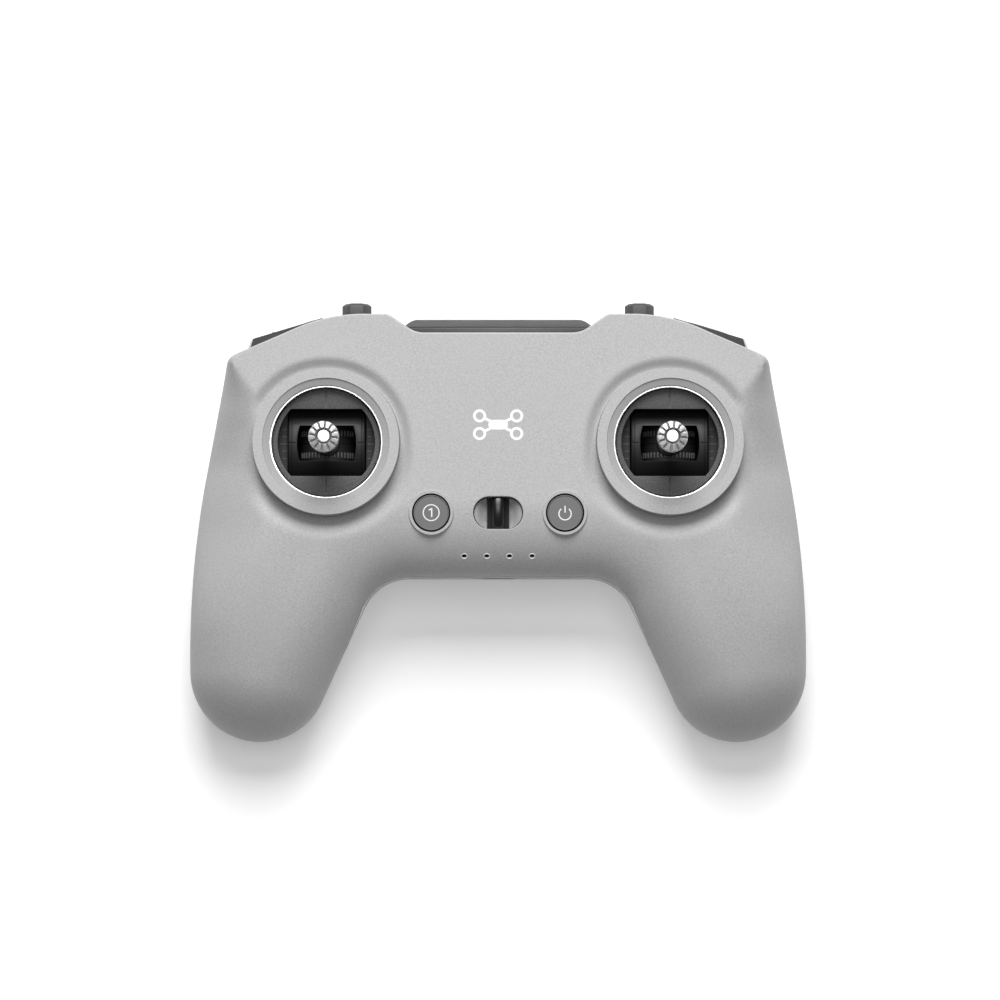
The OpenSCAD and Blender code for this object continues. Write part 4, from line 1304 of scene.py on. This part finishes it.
pipes, lips = [], []
for k in (-1.5, -0.5, 0.5, 1.5):
    here = np.array([[k * sideParts["ledPitch"], sideParts["ledY"] + t] for t in (-0.4, 0.4)])
    low, high = baseSurface(here, True)[0]
    # Painted highlight: each light hole gets a lip of the pale plastic
    lip = lathe("lip", [(0.69, -0.5), (0.69, 0.04), (0.76, 0.1), (0.9, 0.04), (0.94, -0.1), (0.94, -0.5)],
                paintedHighlightPlastic, 32)
    place(lip, shift(k * sideParts["ledPitch"], sideParts["ledY"],
                     (low + high) / 2) @ turn(math.degrees(math.atan2(high - low, 0.8)), "X"))
    lips.append(lip)
    top = (low + high) / 2 - 1.1
    pipe = lathe("pipe", [(0, 30.4), (0.64, 30.4), (0.64, top - 0.1), (0.5, top), (0, top - 0.05)],
                 pipeClear, 24)
    pipes.append(place(pipe, shift(k * sideParts["ledPitch"], sideParts["ledY"], 0)))
give(joinAll("light_pipes_fine", pipes), root, "light_guide", "light_pipes")
print("face details")

# Back of the casing
for side, label in ((-1, "left"), (1, "right")):
    rings = [[(x, y, z) for x, y in slotLoop(0, 0, inlay["length"] - 2 * i, inlay["width"] - 2 * i, 2.0,
                                             True)[:, :2]] for i, z in ((0, 1.5), (0, 0.6), (0.3, 0.4))]
    rings = [[ring[int(k * len(ring) / len(rings[0]))] for k in range(len(rings[0]))] for ring in rings]
    base = loft("inlay", rings, inlayRubber)
    bead = loft("bead", [[(x, 0.62 * math.cos(a), 0.42 * math.sin(a))
                          for a in np.linspace(0, 2 * math.pi, 9)[:-1]] for x in (-5.6, 5.6)])
    spots = [(0, (k - (inlay["ribs"] - 1) / 2) * inlay["pitch"], 0.44) for k in range(inlay["ribs"])]
    ribsPiece = pointCopies("beads", bead, spots, inlayRubber, [(0, 0, side * 14)] * len(spots))
    piece = joinAll(f"{label}_inlay_fine", [base, ribsPiece])
    place(piece, shift(side * inlay["x"], inlay["y"], 0))
    give(piece, root, "rubber_dark", f"{label}_grip_inlay")

screws = []
for side in (-1, 1):
    for px, py in rear["posts"]:
        around = [[px + 2 * math.cos(a), py + 2 * math.sin(a)] for a in np.arange(8) * math.pi / 4]
        seat = float(baseSurface(np.array(around), False)[0].max()) + 2.6
        high = float(partingHeight(py)) + 6
        head = lathe("head", [(0, seat - 1.35), (1.2, seat - 1.4), (1.7, seat - 1.3), (2.0, seat - 1.0),
                              (2.1, seat - 0.6), (2.1, seat), (0, seat)], steel, 48)
        key = prism("cutter", [(0.95 * math.cos(a), 0.95 * math.sin(a))
                               for a in np.arange(6) * math.pi / 3], seat - 2, seat - 0.5)
        cut(head, [key])
        turns = int((high - seat - 1.2) / 0.7)
        thread = [(0, seat), (0.95, seat)]
        for k in range(turns):
            thread += [(0.72, seat + 0.35 + 0.7 * k), (0.95, seat + 0.7 + 0.7 * k)]
        thread += [(0.3, high), (0, high)]
        for part in (sharpen(head), lathe("thread", thread, steel, 20)):
            screws.append(place(part, shift(side * px, py, 0)))
give(joinAll("case_screws_fine", screws), root, "steel", "case_screws")

plugs = []
for side in (-1, 1):
    for px, py in rear["plugs"]:
        plug = lathe("plug", [(0, 5.9), (0.9, 5.9), (1.0, 5.6), (2.2, 5.6), (2.5, 5.9), (2.5, 8), (0, 8)],
                     plugRubber, 48)
        plugs.append(place(plug, shift(side * wells["x"] + px, wells["y"] + py, 0)))
give(joinAll("adjuster_plugs_fine", plugs), root, "rubber_dark", "adjuster_plugs")
print("back of the casing")

# Camera, light and floor
camera = {"target": (0.0005, 0.00555, 0.024), "distance": 1.422, "elevation": 86.4, "width": 0.2674}
lens = bpy.data.cameras.new("camera")
lens.sensor_width = 36
lens.lens = 36 * camera["distance"] / camera["width"]
lens.clip_start, lens.clip_end = 0.01, 20
viewer = bpy.data.objects.new("camera", lens)
up = math.radians(camera["elevation"])
viewer.location = Vector(camera["target"]) + camera["distance"] * Vector((0, -math.cos(up), math.sin(up)))
viewer.rotation_euler = (math.radians(90 - camera["elevation"]), 0, 0)
bpy.context.scene.collection.objects.link(viewer)
bpy.context.scene.camera = viewer

studio = {"key": 20.0, "keyAt": (0.0, 0.84, 1.02), "keySize": 0.7, "ambient": 0.06, "top": 4.4,
          "topAt": (0, 0.12, 1.3), "topSize": 0.6, "aim": (0, 0, 0.03), "floor": 0.86, "glow": 0.26}


def softbox(name, at, size, power):
    data = bpy.data.lights.new(name, "AREA")
    data.shape = "RECTANGLE"
    data.size, data.size_y = size, size
    data.energy = power
    lamp = bpy.data.objects.new(name, data)
    lamp.location = at
    lamp.rotation_euler = (Vector(studio["aim"]) - Vector(at)).to_track_quat("-Z", "Y").to_euler()
    lamp.visible_camera = False
    bpy.context.scene.collection.objects.link(lamp)


softbox("key light", studio["keyAt"], studio["keySize"], studio["key"])
softbox("top light", studio["topAt"], studio["topSize"], studio["top"])
world = bpy.data.worlds.new("studio")
world.use_nodes = True
world.node_tree.nodes["Background"].inputs["Color"].default_value = (1, 1, 1, 1)
world.node_tree.nodes["Background"].inputs["Strength"].default_value = studio["ambient"]
bpy.context.scene.world = world
bpy.context.scene.view_settings.view_transform = "Standard"

floorPaint = Nodes("floor paper")
grainFloor = floorPaint.noise(2.0, 2.0)
floorPaint.done(floorPaint.blend(floorPaint.spread(grainFloor, 0, 1, 0.3, 0.7), grey(studio["floor"]),
                                 grey(studio["floor"] * 1.01)), 0.9, Emission_Color=(1, 1, 1, 1),
                Emission_Strength=studio["glow"])
floor = newObject("floor", [(-4000, -4000, 0), (4000, -4000, 0), (4000, 4000, 0), (-4000, 4000, 0)],
                  [(0, 1, 2, 3)], floorPaint.material)

give(joinAll("front_casing", [frontCasing] + lips), root, "casing_grey", "front_shell")
give(rearCasing, root, "casing_grey", "rear_shell")
